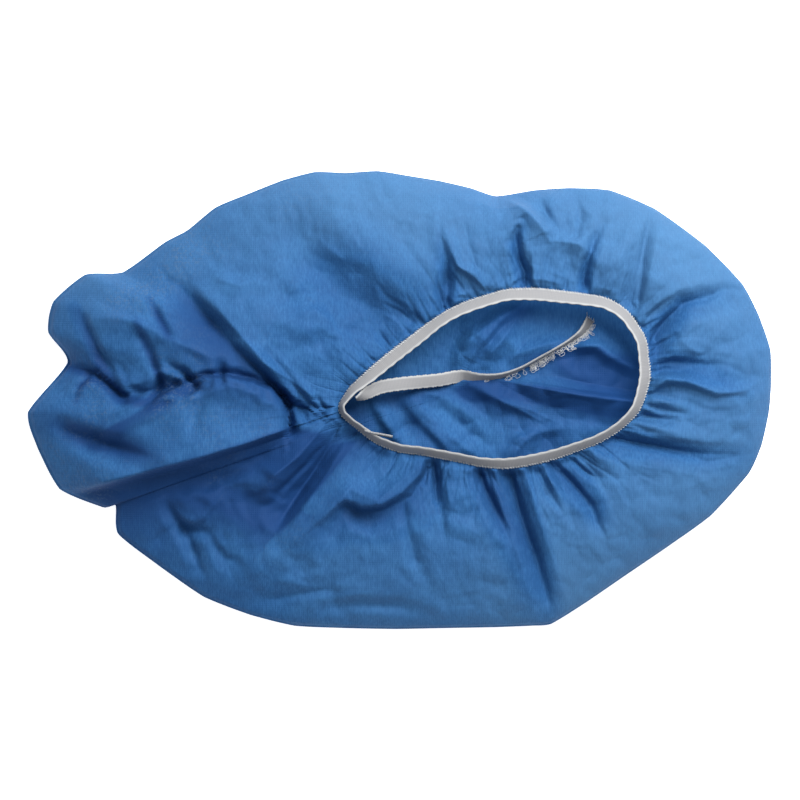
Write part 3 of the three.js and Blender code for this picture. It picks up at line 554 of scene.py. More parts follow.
        (0.337, 0.125, -0.083), (0.348, 0.154, -0.104), (0.361, 0.182, -0.083), (0.378, 0.206, -0.042),
    )),
    Fold("first toe fan", Crest.SHARP, 0.011, 0.014, (
        (0.338, 0.105, -0.083), (0.353, 0.125, -0.083), (0.369, 0.14, -0.033),
    )),
    Fold("second toe fan", Crest.SHARP, 0.014, 0.032, (
        (0.337, 0.075, -0.092), (0.367, 0.083, -0.1), (0.404, 0.079, -0.042),
    )),
    Fold("third toe fan", Crest.SHARP, 0.027, 0.011, (
        (0.34, 0.029, 0.062), (0.356, 0.044, 0.1), (0.383, 0.044, 0.1), (0.404, 0.029, 0.083),
        (0.426, 0.015, 0.067), (0.453, 0.018, 0.05), (0.474, 0.031, 0.017),
    )),
    Fold("shade under the third fan", Crest.SHARP, 0.009, 0.023, (
        (0.344, 0.02, -0.062), (0.364, 0.031, -0.083), (0.391, 0.026, -0.083), (0.421, 0.007, -0.067),
        (0.456, 0.009, -0.042),
    )),
    Fold("fourth toe fan", Crest.SHARP, 0.011, 0.023, (
        (0.324, -0.029, -0.083), (0.345, -0.039, -0.092), (0.369, -0.044, -0.042),
    )),
    Fold("line in the lower toe valley", Crest.SHARP, 0.018, 0.018, (
        (0.286, -0.081, -0.083), (0.318, -0.094, -0.125), (0.351, -0.103, -0.125), (0.386, -0.118, -0.104),
        (0.413, -0.136, -0.062), (0.452, -0.123, -0.025),
    )),
    Fold("lower right knot", Crest.SHARP, 0.011, 0.014, (
        (0.234, -0.132, -0.083), (0.248, -0.154, -0.1), (0.262, -0.169, -0.083), (0.274, -0.169, -0.033),
    )),
    Fold("lower right pleat", Crest.SHARP, 0.014, 0.027, (
        (0.219, -0.162, -0.083), (0.24, -0.197, -0.125), (0.256, -0.23, -0.125), (0.264, -0.268, -0.083),
        (0.277, -0.303, -0.025),
    )),
    Fold("low right faint crease", Crest.SHARP, 0.018, 0.018, (
        (0.232, -0.421, -0.012), (0.256, -0.384, -0.037), (0.278, -0.351, -0.012),
    )),
    Fold("fold from the top notch", Crest.SHARP, 0.011, 0.036, (
        (0.131, 0.441, 0.021), (0.151, 0.432, 0.083), (0.17, 0.412, 0.117), (0.186, 0.386, 0.117),
        (0.196, 0.364, 0.067),
    )),
    Fold("top fold point", Crest.SHARP, 0.018, 0.011, (
        (0.131, 0.368, 0.012), (0.151, 0.39, 0.05), (0.17, 0.41, 0.067),
    )),
    Fold("long top tuck", Crest.SHARP, 0.018, 0.011, (
        (0.166, 0.412, -0.025), (0.155, 0.362, -0.104), (0.159, 0.311, -0.146), (0.168, 0.281, -0.167),
        (0.169, 0.246, -0.125),
    )),
    Fold("top panel upper crease", Crest.SHARP, 0.014, 0.014, (
        (0.19, 0.428, -0.033), (0.2, 0.399, -0.067), (0.213, 0.373, -0.033),
    )),
    Fold("top panel right crease", Crest.SHARP, 0.014, 0.014, (
        (0.24, 0.439, -0.021), (0.243, 0.406, -0.05), (0.238, 0.355, -0.042),
    )),
    Fold("top panel lower ridge", Crest.SHARP, 0.014, 0.027, (
        (0.189, 0.344, 0.021), (0.216, 0.344, 0.05), (0.239, 0.34, 0.067), (0.259, 0.316, 0.033),
    )),
    Fold("top panel tuck", Crest.SHARP, 0.014, 0.018, (
        (0.275, 0.39, -0.021), (0.259, 0.34, -0.083), (0.251, 0.303, -0.104), (0.247, 0.263, -0.125),
        (0.251, 0.237, -0.104),
    )),
    Fold("top left tuck", Crest.SHARP, 0.023, 0.014, (
        (0.055, 0.417, -0.021), (0.056, 0.351, -0.075), (0.065, 0.303, -0.1), (0.063, 0.252, -0.1),
    )),
    Fold("top left crest", Crest.SHARP, 0.023, 0.011, (
        (0.064, 0.351, 0.042), (0.072, 0.318, 0.083), (0.08, 0.289, 0.108), (0.1, 0.268, 0.108),
        (0.116, 0.241, 0.067),
    )),
    Fold("first top scallop", Crest.SHARP, 0.014, 0.014, (
        (0.142, 0.241, 0.062), (0.155, 0.261, 0.092), (0.166, 0.272, 0.042),
    )),
    Fold("second top scallop", Crest.SHARP, 0.014, 0.014, (
        (0.173, 0.263, 0.042), (0.196, 0.261, 0.075), (0.216, 0.25, 0.05),
    )),
    Fold("third top scallop", Crest.SHARP, 0.014, 0.014, (
        (0.071, 0.219, 0.042), (0.081, 0.23, 0.083), (0.095, 0.226, 0.083), (0.111, 0.228, 0.05),
    )),
    Fold("first right pucker", Crest.SHARP, 0.011, 0.018, (
        (0.334, 0.18, -0.062), (0.345, 0.197, -0.108), (0.361, 0.219, -0.042),
    )),
    Fold("second right pucker", Crest.SHARP, 0.014, 0.014, (
        (0.329, 0.158, 0.05), (0.343, 0.171, 0.1), (0.359, 0.184, 0.067), (0.372, 0.202, 0.025),
    )),
    Fold("third right pucker", Crest.SHARP, 0.011, 0.014, (
        (0.34, 0.057, -0.067), (0.356, 0.064, -0.1), (0.378, 0.061, -0.042),
    )),
    Fold("fourth right pucker", Crest.SHARP, 0.014, 0.018, (
        (0.337, 0.004, 0.05), (0.356, -0.004, 0.092), (0.38, -0.009, 0.033),
    )),
    Fold("fifth right pucker", Crest.SHARP, 0.014, 0.014, (
        (0.329, -0.009, -0.067), (0.351, -0.02, -0.1), (0.383, -0.031, -0.033),
    )),
    Fold("sixth right pucker", Crest.SHARP, 0.014, 0.014, (
        (0.31, -0.053, -0.058), (0.334, -0.068, -0.092), (0.361, -0.077, -0.033),
    )),
    Fold("faint upright crease", Crest.SHARP, 0.023, 0.018, (
        (-0.211, 0.193, 0.008), (-0.22, 0.219, 0.033), (-0.208, 0.252, 0.037),
    )),
)


SOLE_FOLDS: tuple[Fold, ...] = (
    Fold("centre ridge", Crest.SHARP, 0.032, 0.045, (
        (0.092, 0.039, 0), (0.115, 0.02, 0.125), (0.138, -0.002, 0.188), (0.168, -0.026, 0.188),
        (0.2, -0.055, 0),
    )),
    Fold("long fold", Crest.SHARP, 0.023, 0.063, (
        (0.135, 0.042, 0), (0.176, 0.035, 0.167), (0.216, 0.026, 0.229), (0.27, 0.009, 0.292),
        (0.324, -0.004, 0.292), (0.367, -0.013, 0),
    )),
    Fold("toe fold", Crest.SHARP, 0.041, 0.023, (
        (0.236, 0.105, 0), (0.25, 0.121, 0.167), (0.264, 0.116, 0.208), (0.283, 0.092, 0.25),
        (0.313, 0.07, 0.25), (0.361, 0.044, 0),
    )),
    Fold("toe fold companion", Crest.SHARP, 0.027, 0.018, (
        (0.25, 0.151, 0), (0.267, 0.151, 0.104), (0.286, 0.129, 0.125), (0.313, 0.096, 0),
    )),
    Fold("fold behind the tail", Crest.SHARP, 0.032, 0.041, (
        (0.142, 0.075, 0), (0.162, 0.105, 0.208), (0.203, 0.123, 0.229), (0.235, 0.136, 0),
    )),
    Fold("upper left fold", Crest.SHARP, 0.023, 0.054, (
        (0.072, 0.057, 0), (0.081, 0.101, 0.208), (0.095, 0.132, 0.271), (0.133, 0.178, 0.271),
        (0.176, 0.219, 0),
    )),
    Fold("second upper left fold", Crest.SHARP, 0.02, 0.041, (
        (0.114, 0.064, 0), (0.124, 0.105, 0.167), (0.139, 0.132, 0.175), (0.165, 0.193, 0),
    )),
    Fold("lower left fold", Crest.SHARP, 0.036, 0.036, (
        (0.006, 0.02, 0), (0.017, 0.002, 0.125), (0.041, -0.039, 0.188), (0.068, -0.081, 0.188),
        (0.098, -0.114, 0.125), (0.122, -0.143, 0),
    )),
    Fold("corner fold", Crest.ROUND, 0.032, 0.032, (
        (-0.04, 0, 0), (-0.021, -0.026, 0.125), (-0.007, -0.066, 0.125), (0.006, -0.114, 0),
    )),
    Fold("lower fold", Crest.SHARP, 0.023, 0.036, (
        (0.151, -0.132, 0), (0.159, -0.107, 0.125), (0.17, -0.088, 0.146), (0.197, -0.061, 0),
    )),
    Fold("middle lower fold", Crest.ROUND, 0.036, 0.036, (
        (0.216, -0.11, 0), (0.256, -0.066, 0.104), (0.303, -0.033, 0),
    )),
    Fold("diagonal ridge up to the rim", Crest.SHARP, 0.032, 0.014, (
        (0.084, 0.061, 0.075), (0.108, 0.121, 0.121), (0.135, 0.171, 0.121), (0.162, 0.206, 0.075),
    )),
    Fold("middle crease", Crest.SHARP, 0.027, 0.018, (
        (0.095, 0.033, 0.058), (0.135, 0, 0.104), (0.176, -0.022, 0.092), (0.216, -0.053, 0.021),
    )),
    Fold("long step", Crest.SHARP, 0.011, 0.054, (
        (0.135, 0.044, 0.083), (0.189, 0.026, 0.142), (0.243, 0.011, 0.175), (0.297, 0, 0.175),
        (0.324, -0.004, 0.108),
    )),
    Fold("hump by the cut end", Crest.SHARP, 0.045, 0.018, (
        (0.216, 0.105, 0.05), (0.243, 0.116, 0.15), (0.266, 0.121, 0.175), (0.283, 0.099, 0.158),
        (0.313, 0.075, 0.1),
    )),
    Fold("first left crease", Crest.SHARP, 0.023, 0.014, (
        (0.001, 0.011, 0.042), (0.028, -0.044, 0.108), (0.055, -0.088, 0.108), (0.068, -0.114, 0.05),
    )),
    Fold("second left crease", Crest.SHARP, 0.027, 0.014, (
        (-0.037, 0, 0.067), (-0.021, -0.044, 0.133), (-0.005, -0.083, 0.133),
    )),
    Fold("third left crease", Crest.SHARP, 0.023, 0.032, (
        (0.017, 0.022, 0.05), (0.055, 0.009, 0.108), (0.084, -0.018, 0.1), (0.108, -0.055, 0.042),
    )),
    Fold("small crease", Crest.SHARP, 0.018, 0.014, (
        (0.075, 0.11, 0.033), (0.095, 0.132, 0.067), (0.102, 0.164, 0.042),
    )),
    Fold("ridge by the lower rim", Crest.SHARP, 0.018, 0.018, (
        (0.142, -0.114, 0.042), (0.162, -0.083, 0.092), (0.196, -0.066, 0.083), (0.229, -0.061, 0.033),
    )),
)


# Painted shade: the cloth is painted darker in creases, under folds and flaps and under the rim. The
# third number is how much, and below 0 it is painted light, which makes the cloth lighter.
UPPER_PAINTED_SHADE: tuple[Fold, ...] = (
    Fold("valley beside the upper lobe", Crest.ROUND, 0.014, 0.162, (
        (-0.298, 0.252, 0.1), (-0.279, 0.215, 0.8), (-0.255, 0.171, 1), (-0.225, 0.116, 0.9),
        (-0.185, 0.057, 0.6), (-0.147, 0.004, 0.4), (-0.11, -0.018, 0.2),
    )),
    Fold("pucker line", Crest.ROUND, 0.054, 0.054, (
        (-0.457, 0.079, 0.3), (-0.407, 0.059, 0.5), (-0.367, 0.018, 0.5), (-0.318, 0.02, 0.6),
        (-0.273, 0.026, 0.5), (-0.215, 0.044, 0.2), (-0.154, 0.009, 0.3),
    )),
    Fold("under the flap", Crest.ROUND, 0.018, 0.225, (
        (-0.43, -0.208, 0.2), (-0.383, -0.186, 0.9), (-0.349, -0.171, 1.1), (-0.314, -0.154, 1.15),
        (-0.242, -0.121, 1.15), (-0.172, -0.083, 1.1), (-0.146, -0.07, 1), (-0.11, -0.079, 0.6),
        (-0.091, -0.075, 0.2),
    )),
    Fold("below the roll", Crest.ROUND, 0.081, 0.009, (
        (-0.042, -0.083, 0.5), (-0.091, -0.107, 0.8), (-0.118, -0.127, 1.1), (-0.147, -0.167, 1.1),
        (-0.178, -0.2, 1),
    )),
    Fold("valley by the roll", Crest.ROUND, 0.014, 0.117, (
        (-0.064, -0.088, 0.2), (-0.083, -0.127, 0.8), (-0.107, -0.175, 1), (-0.134, -0.226, 1),
        (-0.164, -0.287, 0.7),
    )),
    Fold("lower lobe hollow", Crest.ROUND, 0.059, 0.05, (
        (-0.476, -0.044, 0.3), (-0.423, -0.075, 0.8), (-0.376, -0.094, 0.8), (-0.325, -0.123, 0.3),
    )),
    Fold("upper lobe pleat", Crest.ROUND, 0.009, 0.032, (
        (-0.43, 0.197, 0.5), (-0.414, 0.14, 0.9), (-0.398, 0.081, 1), (-0.373, 0.013, 1),
    )),
    Fold("second lobe pleat", Crest.ROUND, 0.023, 0.009, (
        (-0.353, 0.162, 0.7), (-0.336, 0.099, 1), (-0.322, 0.044, 1),
    )),
    Fold("lower lobe curl", Crest.ROUND, 0.009, 0.018, (
        (-0.435, -0.004, 0.5), (-0.429, 0.031, 0.9), (-0.414, 0.05, 0.9), (-0.392, 0.044, 0.5),
    )),
    Fold("lower lobe bend", Crest.ROUND, 0.009, 0.036, (
        (-0.406, -0.086, 0.9), (-0.392, -0.068, 0.9), (-0.373, -0.05, 0.8), (-0.336, -0.02, 0.8),
        (-0.316, -0.004, 0.8),
    )),
    Fold("third lobe pleat", Crest.ROUND, 0.009, 0.018, (
        (-0.333, 0.219, 0.6), (-0.322, 0.182, 1), (-0.308, 0.14, 0.6),
    )),
    Fold("between the lobes", Crest.ROUND, 0.016, 0.02, (
        (-0.454, 0.079, 0.7), (-0.43, 0.066, 0.8), (-0.407, 0.053, 0.8), (-0.371, 0.004, 0.9),
        (-0.336, -0.009, 0.8), (-0.316, 0.033, 0.8), (-0.289, 0.018, 0.8), (-0.273, 0.031, 0.5),
    )),
    Fold("broad hollow", Crest.ROUND, 0.18, 0.18, (
        (-0.12, 0.351, 0.1), (-0.073, 0.263, 0.35), (-0.033, 0.197, 0.3),
    )),
    Fold("low left edge", Crest.ROUND, 0.18, 0.063, (
        (-0.363, -0.307, 0.2), (-0.295, -0.395, 0.35), (-0.215, -0.45, 0.35), (-0.134, -0.474, 0.1),
    )),
    Fold("under the loop fold", Crest.ROUND, 0.072, 0.081, (
        (-0.11, -0.281, 0.2), (-0.073, -0.246, 0.6), (-0.026, -0.246, 0.7), (0.014, -0.219, 0.6),
        (0.038, -0.158, 0.5),
    )),
    Fold("bottom valley", Crest.ROUND, 0.054, 0.099, (
        (0.15, -0.162, 0.5), (0.162, -0.25, 0.6), (0.184, -0.351, 0.6), (0.196, -0.417, 0.4),
        (0.205, -0.474, 0.2),
    )),
    Fold("bottom left valley", Crest.ROUND, 0.036, 0.054, (
        (0.108, -0.156, 0.5), (0.118, -0.197, 0.5), (0.134, -0.246, 0.4), (0.164, -0.327, 0.1),
    )),
    Fold("bottom right valley", Crest.ROUND, 0.045, 0.054, (
        (0.207, -0.136, 0.5), (0.239, -0.191, 0.6), (0.26, -0.23, 0.4), (0.275, -0.298, 0),
    )),
    Fold("toe lower valley", Crest.ROUND, 0.036, 0.063, (
        (0.283, -0.083, 0.4), (0.33, -0.096, 0.4), (0.404, -0.116, 0.3), (0.469, -0.121, 0.1),
    )),
    Fold("toe upper valley", Crest.ROUND, 0.036, 0.063, (
        (0.338, 0.132, 0.5), (0.356, 0.171, 0.5), (0.38, 0.211, 0.4), (0.423, 0.23, 0.2),
        (0.469, 0.246, 0),
    )),
    Fold("toe hollow", Crest.ROUND, 0.054, 0.045, (
        (0.344, 0.083, 0.4), (0.391, 0.061, 0.35), (0.438, 0.039, 0.25), (0.465, 0.026, 0.1),
    )),
    Fold("round the flap", Crest.ROUND, 0.018, 0.009, (
        (-0.336, -0.009, 0.7), (-0.314, 0.013, 0.7), (-0.29, 0.035, 0.7), (-0.26, 0.053, 0.6),
        (-0.228, 0.055, 0.5), (-0.196, 0.044, 0.4), (-0.17, 0.026, 0.4), (-0.154, 0.002, 0.4),
        (-0.147, -0.033, 0.5), (-0.146, -0.066, 0.5),
    )),
    Fold("under the flap edge", Crest.ROUND, 0.009, 0.054, (
        (-0.454, -0.206, 0.1), (-0.417, -0.197, 0.4), (-0.376, -0.182, 0.6), (-0.314, -0.154, 0.8),
        (-0.242, -0.123, 0.8), (-0.172, -0.088, 0.8), (-0.147, -0.075, 0.6),
    )),
    Fold("dark diamond", Crest.ROUND, 0.023, 0.05, (
        (-0.468, -0.044, 0.2), (-0.41, -0.081, 0.7), (-0.369, -0.101, 0.7), (-0.325, -0.125, 0.3),
    )),
    Fold("dark corner below the flap", Crest.ROUND, 0.009, 0.135, (
        (-0.242, -0.191, 0.5), (-0.22, -0.2, 0.9), (-0.193, -0.204, 1), (-0.166, -0.197, 1),
        (-0.147, -0.219, 0.6),
    )),
    Fold("top valley", Crest.ROUND, 0.027, 0.023, (
        (0.17, 0.241, 0.6), (0.162, 0.294, 0.5), (0.155, 0.333, 0.3), (0.17, 0.39, 0.1),
    )),
    Fold("top left valley", Crest.ROUND, 0.036, 0.036, (
        (0.064, 0.215, 0.5), (0.064, 0.263, 0.4), (0.055, 0.362, 0.05),
    )),
    Fold("top right valley", Crest.ROUND, 0.023, 0.023, (
        (0.248, 0.237, 0.4), (0.251, 0.281, 0.35), (0.259, 0.325, 0.2), (0.274, 0.39, 0),
    )),
    Fold("painted light over the top", Crest.ROUND, 0.27, 0.36, (
        (-0.248, 0.406, -0.2), (-0.094, 0.461, -0.42), (0.028, 0.461, -0.42), (0.135, 0.439, -0.3),
        (0.27, 0.461, -0.36), (0.378, 0.39, -0.36),
    )),
    Fold("painted light over the right end", Crest.ROUND, 0.315, 0.383, (
        (0.391, 0.377, -0.15), (0.465, 0.263, -0.25), (0.499, 0.11, -0.28), (0.488, -0.066, -0.3),
        (0.404, -0.241, -0.36), (0.27, -0.417, -0.25),
    )),
    Fold("painted light over the bottom", Crest.ROUND, 0.27, 0.315, (
        (0.216, -0.465, -0.18), (0.001, -0.465, -0.14), (-0.134, -0.452, -0.16), (-0.269, -0.395, -0.14),
    )),
    Fold("painted light over the upper lobe", Crest.ROUND, 0.158, 0.158, (
        (-0.457, 0.219, -0.1), (-0.417, 0.274, -0.25), (-0.363, 0.274, -0.1),
    )),
)


# Painted shade on the sole: darker under the cut end, by the rim and beside its folds.
SOLE_PAINTED_SHADE: tuple[Fold, ...] = (
    Fold("crisp dark below the cut end", Crest.ROUND, 0.009, 0.162, (
        (0.2, 0.105, 0.4), (0.24, 0.11, 1), (0.267, 0.11, 1.1), (0.285, 0.086, 1.1),
        (0.313, 0.064, 1), (0.337, 0.044, 0.6),
    )),
    Fold("dark by the right rim", Crest.ROUND, 0.054, 0.063, (
        (0.264, 0.083, 0.5), (0.299, 0.061, 0.8), (0.324, 0.039, 0.8), (0.332, 0.018, 0.5),
    )),
    Fold("dark below the long fold", Crest.ROUND, 0.018, 0.041, (
        (0.095, 0.031, 0.7), (0.135, 0.031, 0.9), (0.189, 0.018, 1.1), (0.256, 0.004, 1.2),
        (0.324, -0.009, 1),
    )),
    Fold("under the cut end", Crest.ROUND, 0.09, 0.09, (
        (0.2, 0.099, 0.3), (0.236, 0.077, 0.5), (0.27, 0.061, 0.5), (0.313, 0.033, 0.5),
    )),
    Fold("by the corner", Crest.ROUND, 0.063, 0.081, (
        (-0.069, -0.018, 0.8), (-0.046, -0.055, 0.6), (-0.02, -0.088, 0.3),
    )),
    Fold("below the long fold", Crest.ROUND, 0.045, 0.063, (
        (0.108, 0.018, 0.4), (0.162, 0.004, 0.5), (0.216, -0.004, 0.6), (0.27, -0.018, 0.6),
        (0.324, -0.022, 0.6),
    )),
    Fold("under the upper rim", Crest.ROUND, 0.054, 0.054, (
        (0.095, 0.164, 0.3), (0.135, 0.193, 0.5), (0.189, 0.202, 0.5), (0.256, 0.186, 0.5),
        (0.303, 0.132, 0.6), (0.324, 0.066, 0.6),
    )),
    Fold("below the tail", Crest.ROUND, 0.036, 0.045, (
        (-0.026, 0.004, 0.5), (0.041, 0.018, 0.5), (0.095, 0.026, 0.5), (0.135, 0.035, 0.4),
    )),
    Fold("left fold", Crest.ROUND, 0.054, 0.054, (
        (-0.006, 0.011, 0.2), (0.028, -0.055, 0.5), (0.061, -0.11, 0.5),
    )),
    Fold("middle fold", Crest.ROUND, 0.045, 0.054, (
        (0.095, 0.011, 0.4), (0.149, -0.033, 0.5), (0.203, -0.066, 0.3),
    )),
    Fold("lower right", Crest.ROUND, 0.063, 0.063, (
        (0.162, -0.114, 0.5), (0.216, -0.088, 0.4), (0.27, -0.055, 0.2),
    )),
    Fold("upper left fold", Crest.ROUND, 0.036, 0.054, (
        (0.095, 0.088, 0.2), (0.122, 0.143, 0.5), (0.162, 0.193, 0.5),
    )),
)


TAIL: tuple[TapePoint, ...] = (
    TapePoint(-0.058, 0.002, 1.006, 78),
    TapePoint(-0.05, 0.008, 0.937, 50),
    TapePoint(-0.04, 0.018, 0.846, 18),
    TapePoint(-0.024, 0.0285, 0.743, 4),
    TapePoint(0.001, 0.035, 0.617, 0),
    TapePoint(0.028, 0.0395, 0.457, 10),
    TapePoint(0.0545, 0.044, 0.309, 14),
    TapePoint(0.0815, 0.0515, 0, 22),
    TapePoint(0.108, 0.049, 0, 56),
    TapePoint(0.135, 0.0525, 0, 70),
    TapePoint(0.162, 0.068, 0, 80),
    TapePoint(0.189, 0.092, 0, 82),
    TapePoint(0.209, 0.11, 0, 82),
    TapePoint(0.2295, 0.1295, 0, 76),
    TapePoint(0.2455, 0.149, 0, 62),
    TapePoint(0.2565, 0.1755, 0, 48),
)

STUB: tuple[TapePoint, ...] = (
    TapePoint(-0.0475, -0.068, 1.05, 80),
    TapePoint(-0.0375, -0.0725, 1.05, 82),
    TapePoint(-0.0255, -0.0755, 1.04, 84),
    TapePoint(-0.0095, -0.0805, 1.03, 84),
)


def smoothstep(value: np.ndarray) -> np.ndarray:
    """Ease from 0 to 1 as value goes from 0 to 1.

    Args:
        value: Any array; it is clipped to the range first.

    Returns:
        3v^2 - 2v^3 of the clipped value.
    """
    clipped = np.clip(value, 0.0, 1.0)
    return clipped * clipped * (3.0 - 2.0 * clipped)


def closed_spline(rows: np.ndarray, at: np.ndarray) -> np.ndarray:
    """Follow a closed Catmull-Rom curve through rows of values.

    Args:
        rows: Knots, one a row.
        at: Places along the curve, counted in rows.

    Returns:
        One row of values for each place.
    """
    count = len(rows)
    first = np.floor(at).astype(int)
    t = (at - first)[:, None]
    before, start, end, after = (rows[(first + step) % count] for step in (-1, 0, 1, 2))
    bend = 2 * before - 5 * start + 4 * end - after
    twist = 3 * start - before - 3 * end + after
    return start + 0.5 * t * ((end - before) + t * (bend + t * twist))


def closed_straight(rows: np.ndarray, at: np.ndarray) -> np.ndarray:
    """Follow a closed chain of straight lines through rows of values.

    Args:
        rows: Knots, one a row.
        at: Places along the chain, counted in rows.

    Returns:
        One row of values for each place.
    """
    first = np.floor(at).astype(int)
    t = (at - first)[:, None]
    return rows[first % len(rows)] * (1 - t) + rows[(first + 1) % len(rows)] * t


def open_spline(rows: np.ndarray, at: np.ndarray) -> np.ndarray:
    """Follow an open Catmull-Rom curve through rows of values.

    Args:
        rows: Knots, one a row.
        at: Places along the curve, counted in rows, from 0 to the last row.

    Returns:
        One row of values for each place.
    """
    padded = np.vstack([2 * rows[0] - rows[1], rows, 2 * rows[-1] - rows[-2]])
    first = np.clip(np.floor(at).astype(int), 0, len(rows) - 2)
    t = (at - first)[:, None]
    before, start, end, after = (padded[first + step] for step in (0, 1, 2, 3))
    bend = 2 * before - 5 * start + 4 * end - after
    twist = 3 * start - before - 3 * end + after
    return start + 0.5 * t * ((end - before) + t * (bend + t * twist))


def ripple_field(x: np.ndarray, y: np.ndarray, wavelength: float, seed: int, waves: int = 48) -> np.ndarray:
    """Smooth random ripples: a sum of plane waves of near one wavelength in random directions.

    Args:
        x: Places along X, in metres.
        y: Places along Y, in metres.
        wavelength: Mean distance between ripples, in metres.
        seed: Number that fixes the directions and phases.
        waves: How many waves are added.

    Returns:
        Heights of about unit spread.
    """
    chance = np.random.default_rng(seed)
    total = np.zeros_like(x)
    for _ in range(waves):
        direction = chance.uniform(0, TURN)
        rate = TURN / (wavelength * chance.uniform(0.7, 1.6))
        phase = chance.uniform(0, TURN)
        total += np.cos(rate * (x * math.cos(direction) + y * math.sin(direction)) + phase)
    return total * math.sqrt(2.0 / waves)


def fold_heights(folds: tuple[Fold, ...], x: np.ndarray, y: np.ndarray) -> np.ndarray:
    """Add up the heights of folds over a grid.

    A point takes the height at the nearest place on a fold's path, times a profile of q, its distance
    over the fold's spread on that side. The profile is (1 - q)^2 (1 + 2q) on a round fold and
    (1 - q)^1.25 on a sharp one, which is nearly flat on each side of a crease.

    Args:
        folds: The folds to add.
        x: Places along X, in metres.
        y: Places along Y, in metres.

    Returns:
        Heights in metres.
    """
    total = np.zeros_like(x)
    for fold in folds:
        points = np.array(fold.path) * (LENGTH, WIDTH, PUFF)
        nearest = np.full_like(x, np.inf)
        side = np.zeros_like(x)
        height = np.zeros_like(x)
        for start, end in zip(points[:-1], points[1:]):
            run = end[:2] - start[:2]
            along = ((x - start[0]) * run[0] + (y - start[1]) * run[1]) / (run @ run)
            share = np.clip(along, 0.0, 1.0)
            off_x = x - start[0] - share * run[0]
            off_y = y - start[1] - share * run[1]
            distance = np.hypot(off_x, off_y)
            closer = distance < nearest
            nearest = np.where(closer, distance, nearest)
            side = np.where(closer, run[0] * off_y - run[1] * off_x, side)
            height = np.where(closer, start[2] + share * (end[2] - start[2]), height)
        spread = np.where(side > 0, fold.left, fold.right) * WIDTH
        q = np.clip(nearest / spread, 0.0, 1.0)
        if fold.crest is Crest.ROUND:
            total += height * ((1 - q) ** 2 * (1 + 2 * q))
        else:
            total += height * (1 - q) ** CREASE_POWER
    return total


@dataclass(frozen=True)
class Creasing:
    """Random short creases, as crisp thin cloth keeps them.

    length and spread are the least and most, in metres, and height is the most at the widest spread.
    """

    number: int
    seed: int
    length: tuple[float, float]
    spread: tuple[float, float]
    height: float

    def heights(self, x: np.ndarray, y: np.ndarray) -> np.ndarray:
        """Add up the creases over a grid.

        With u along a crease over half its length, and d from it over its spread on that side, each one
        adds its height times (1 - |d|)^1.25 (1 - u^2), and its line bows a little.

        Args:
            x: Places along X, in metres.
            y: Places along Y, in metres.

        Returns:
            Heights in metres.
        """
        chance = np.random.default_rng(self.seed)
        total = np.zeros_like(x)
        for _ in range(self.number):
            centre = chance.uniform(-0.5, 0.5, 2) * (LENGTH, WIDTH)
            heading = chance.uniform(0, math.pi)
            half = chance.uniform(*self.length) / 2
            spreads = chance.uniform(*self.spread, 2)
            bow = chance.normal(0, 0.12) * half
            height = self.height * chance.choice([-1.0, 1.0]) * chance.uniform(0.4, 1.0)
            off_x, off_y = x - centre[0], y - centre[1]
            u = (off_x * math.cos(heading) + off_y * math.sin(heading)) / half
            away = off_y * math.cos(heading) - off_x * math.sin(heading) - bow * u * u
            d = np.abs(away) / np.where(away > 0, spreads[0], spreads[1])
            near = np.clip(1 - d, 0, 1) ** CREASE_POWER * np.clip(1 - u * u, 0, 1)
            total += height * (spreads.mean() / self.spread[1]) * near
        return total


def new_object(
    name: str,
    points: np.ndarray,
    faces: np.ndarray,
    material: bpy.types.Material,
    fan: np.ndarray | None = None,
) -> bpy.types.Object:
    """Make a mesh object at the origin from points and faces.

    Args:
        name: Name of the object and its mesh.
        points: Corners, one a row.
        faces: Corner numbers, one four-sided face a row.
        material: The finish of the whole piece.
        fan: Corner numbers of any three-sided faces.

    Returns:
        The linked object, smooth shaded.
    """
    corners = [faces.ravel()] if fan is None else [faces.ravel(), fan.ravel()]
    starts = [np.arange(len(faces)) * 4]
    if fan is not None:
        starts.append(faces.size + np.arange(len(fan)) * 3)
    loops = np.concatenate(corners).astype(np.int32)
    mesh = bpy.data.meshes.new(name)
    mesh.vertices.add(len(points))
    mesh.vertices.foreach_set("co", points.astype(np.float32).ravel())
    mesh.loops.add(len(loops))
    mesh.loops.foreach_set("vertex_index", loops)
    mesh.polygons.add(sum(len(part) for part in starts))
    mesh.polygons.foreach_set("loop_start", np.concatenate(starts).astype(np.int32))
    mesh.update(calc_edges=True)
    mesh.validate()
    mesh.polygons.foreach_set("use_smooth", np.ones(len(mesh.polygons), dtype=bool))
    mesh.materials.append(material)
    piece = bpy.data.objects.new(name, mesh)
    bpy.context.scene.collection.objects.link(piece)
    return piece


def set_uv(piece: bpy.types.Object, corners: np.ndarray) -> None:
    """Give a piece a UV map that holds one pair of values for each corner of its mesh.

    Args:
        piece: The piece.
        corners: A pair for each vertex, in vertex order.
    """
    mesh = piece.data
    numbers = np.empty(len(mesh.loops), dtype=np.int32)
    mesh.loops.foreach_get("vertex_index", numbers)
    layer = mesh.uv_layers.new(name="cloth")
    layer.data.foreach_set("uv", corners[numbers].astype(np.float32).ravel())


def ring_faces(rows: int, columns: int) -> np.ndarray:
    """Number the faces of a grid of rings, with each row closed on itself.

    Args:
        rows: Number of rings.
        columns: Number of points on each ring.

    Returns:
        Faces that turn from each row to the next and then along the ring.
    """
    row, column = np.meshgrid(np.arange(rows - 1), np.arange(columns), indexing="ij")
    following = (column + 1) % columns
    a = row * columns + column
    b = row * columns + following
    return np.stack([a, a + columns, b + columns, b], axis=-1).reshape(-1, 4)


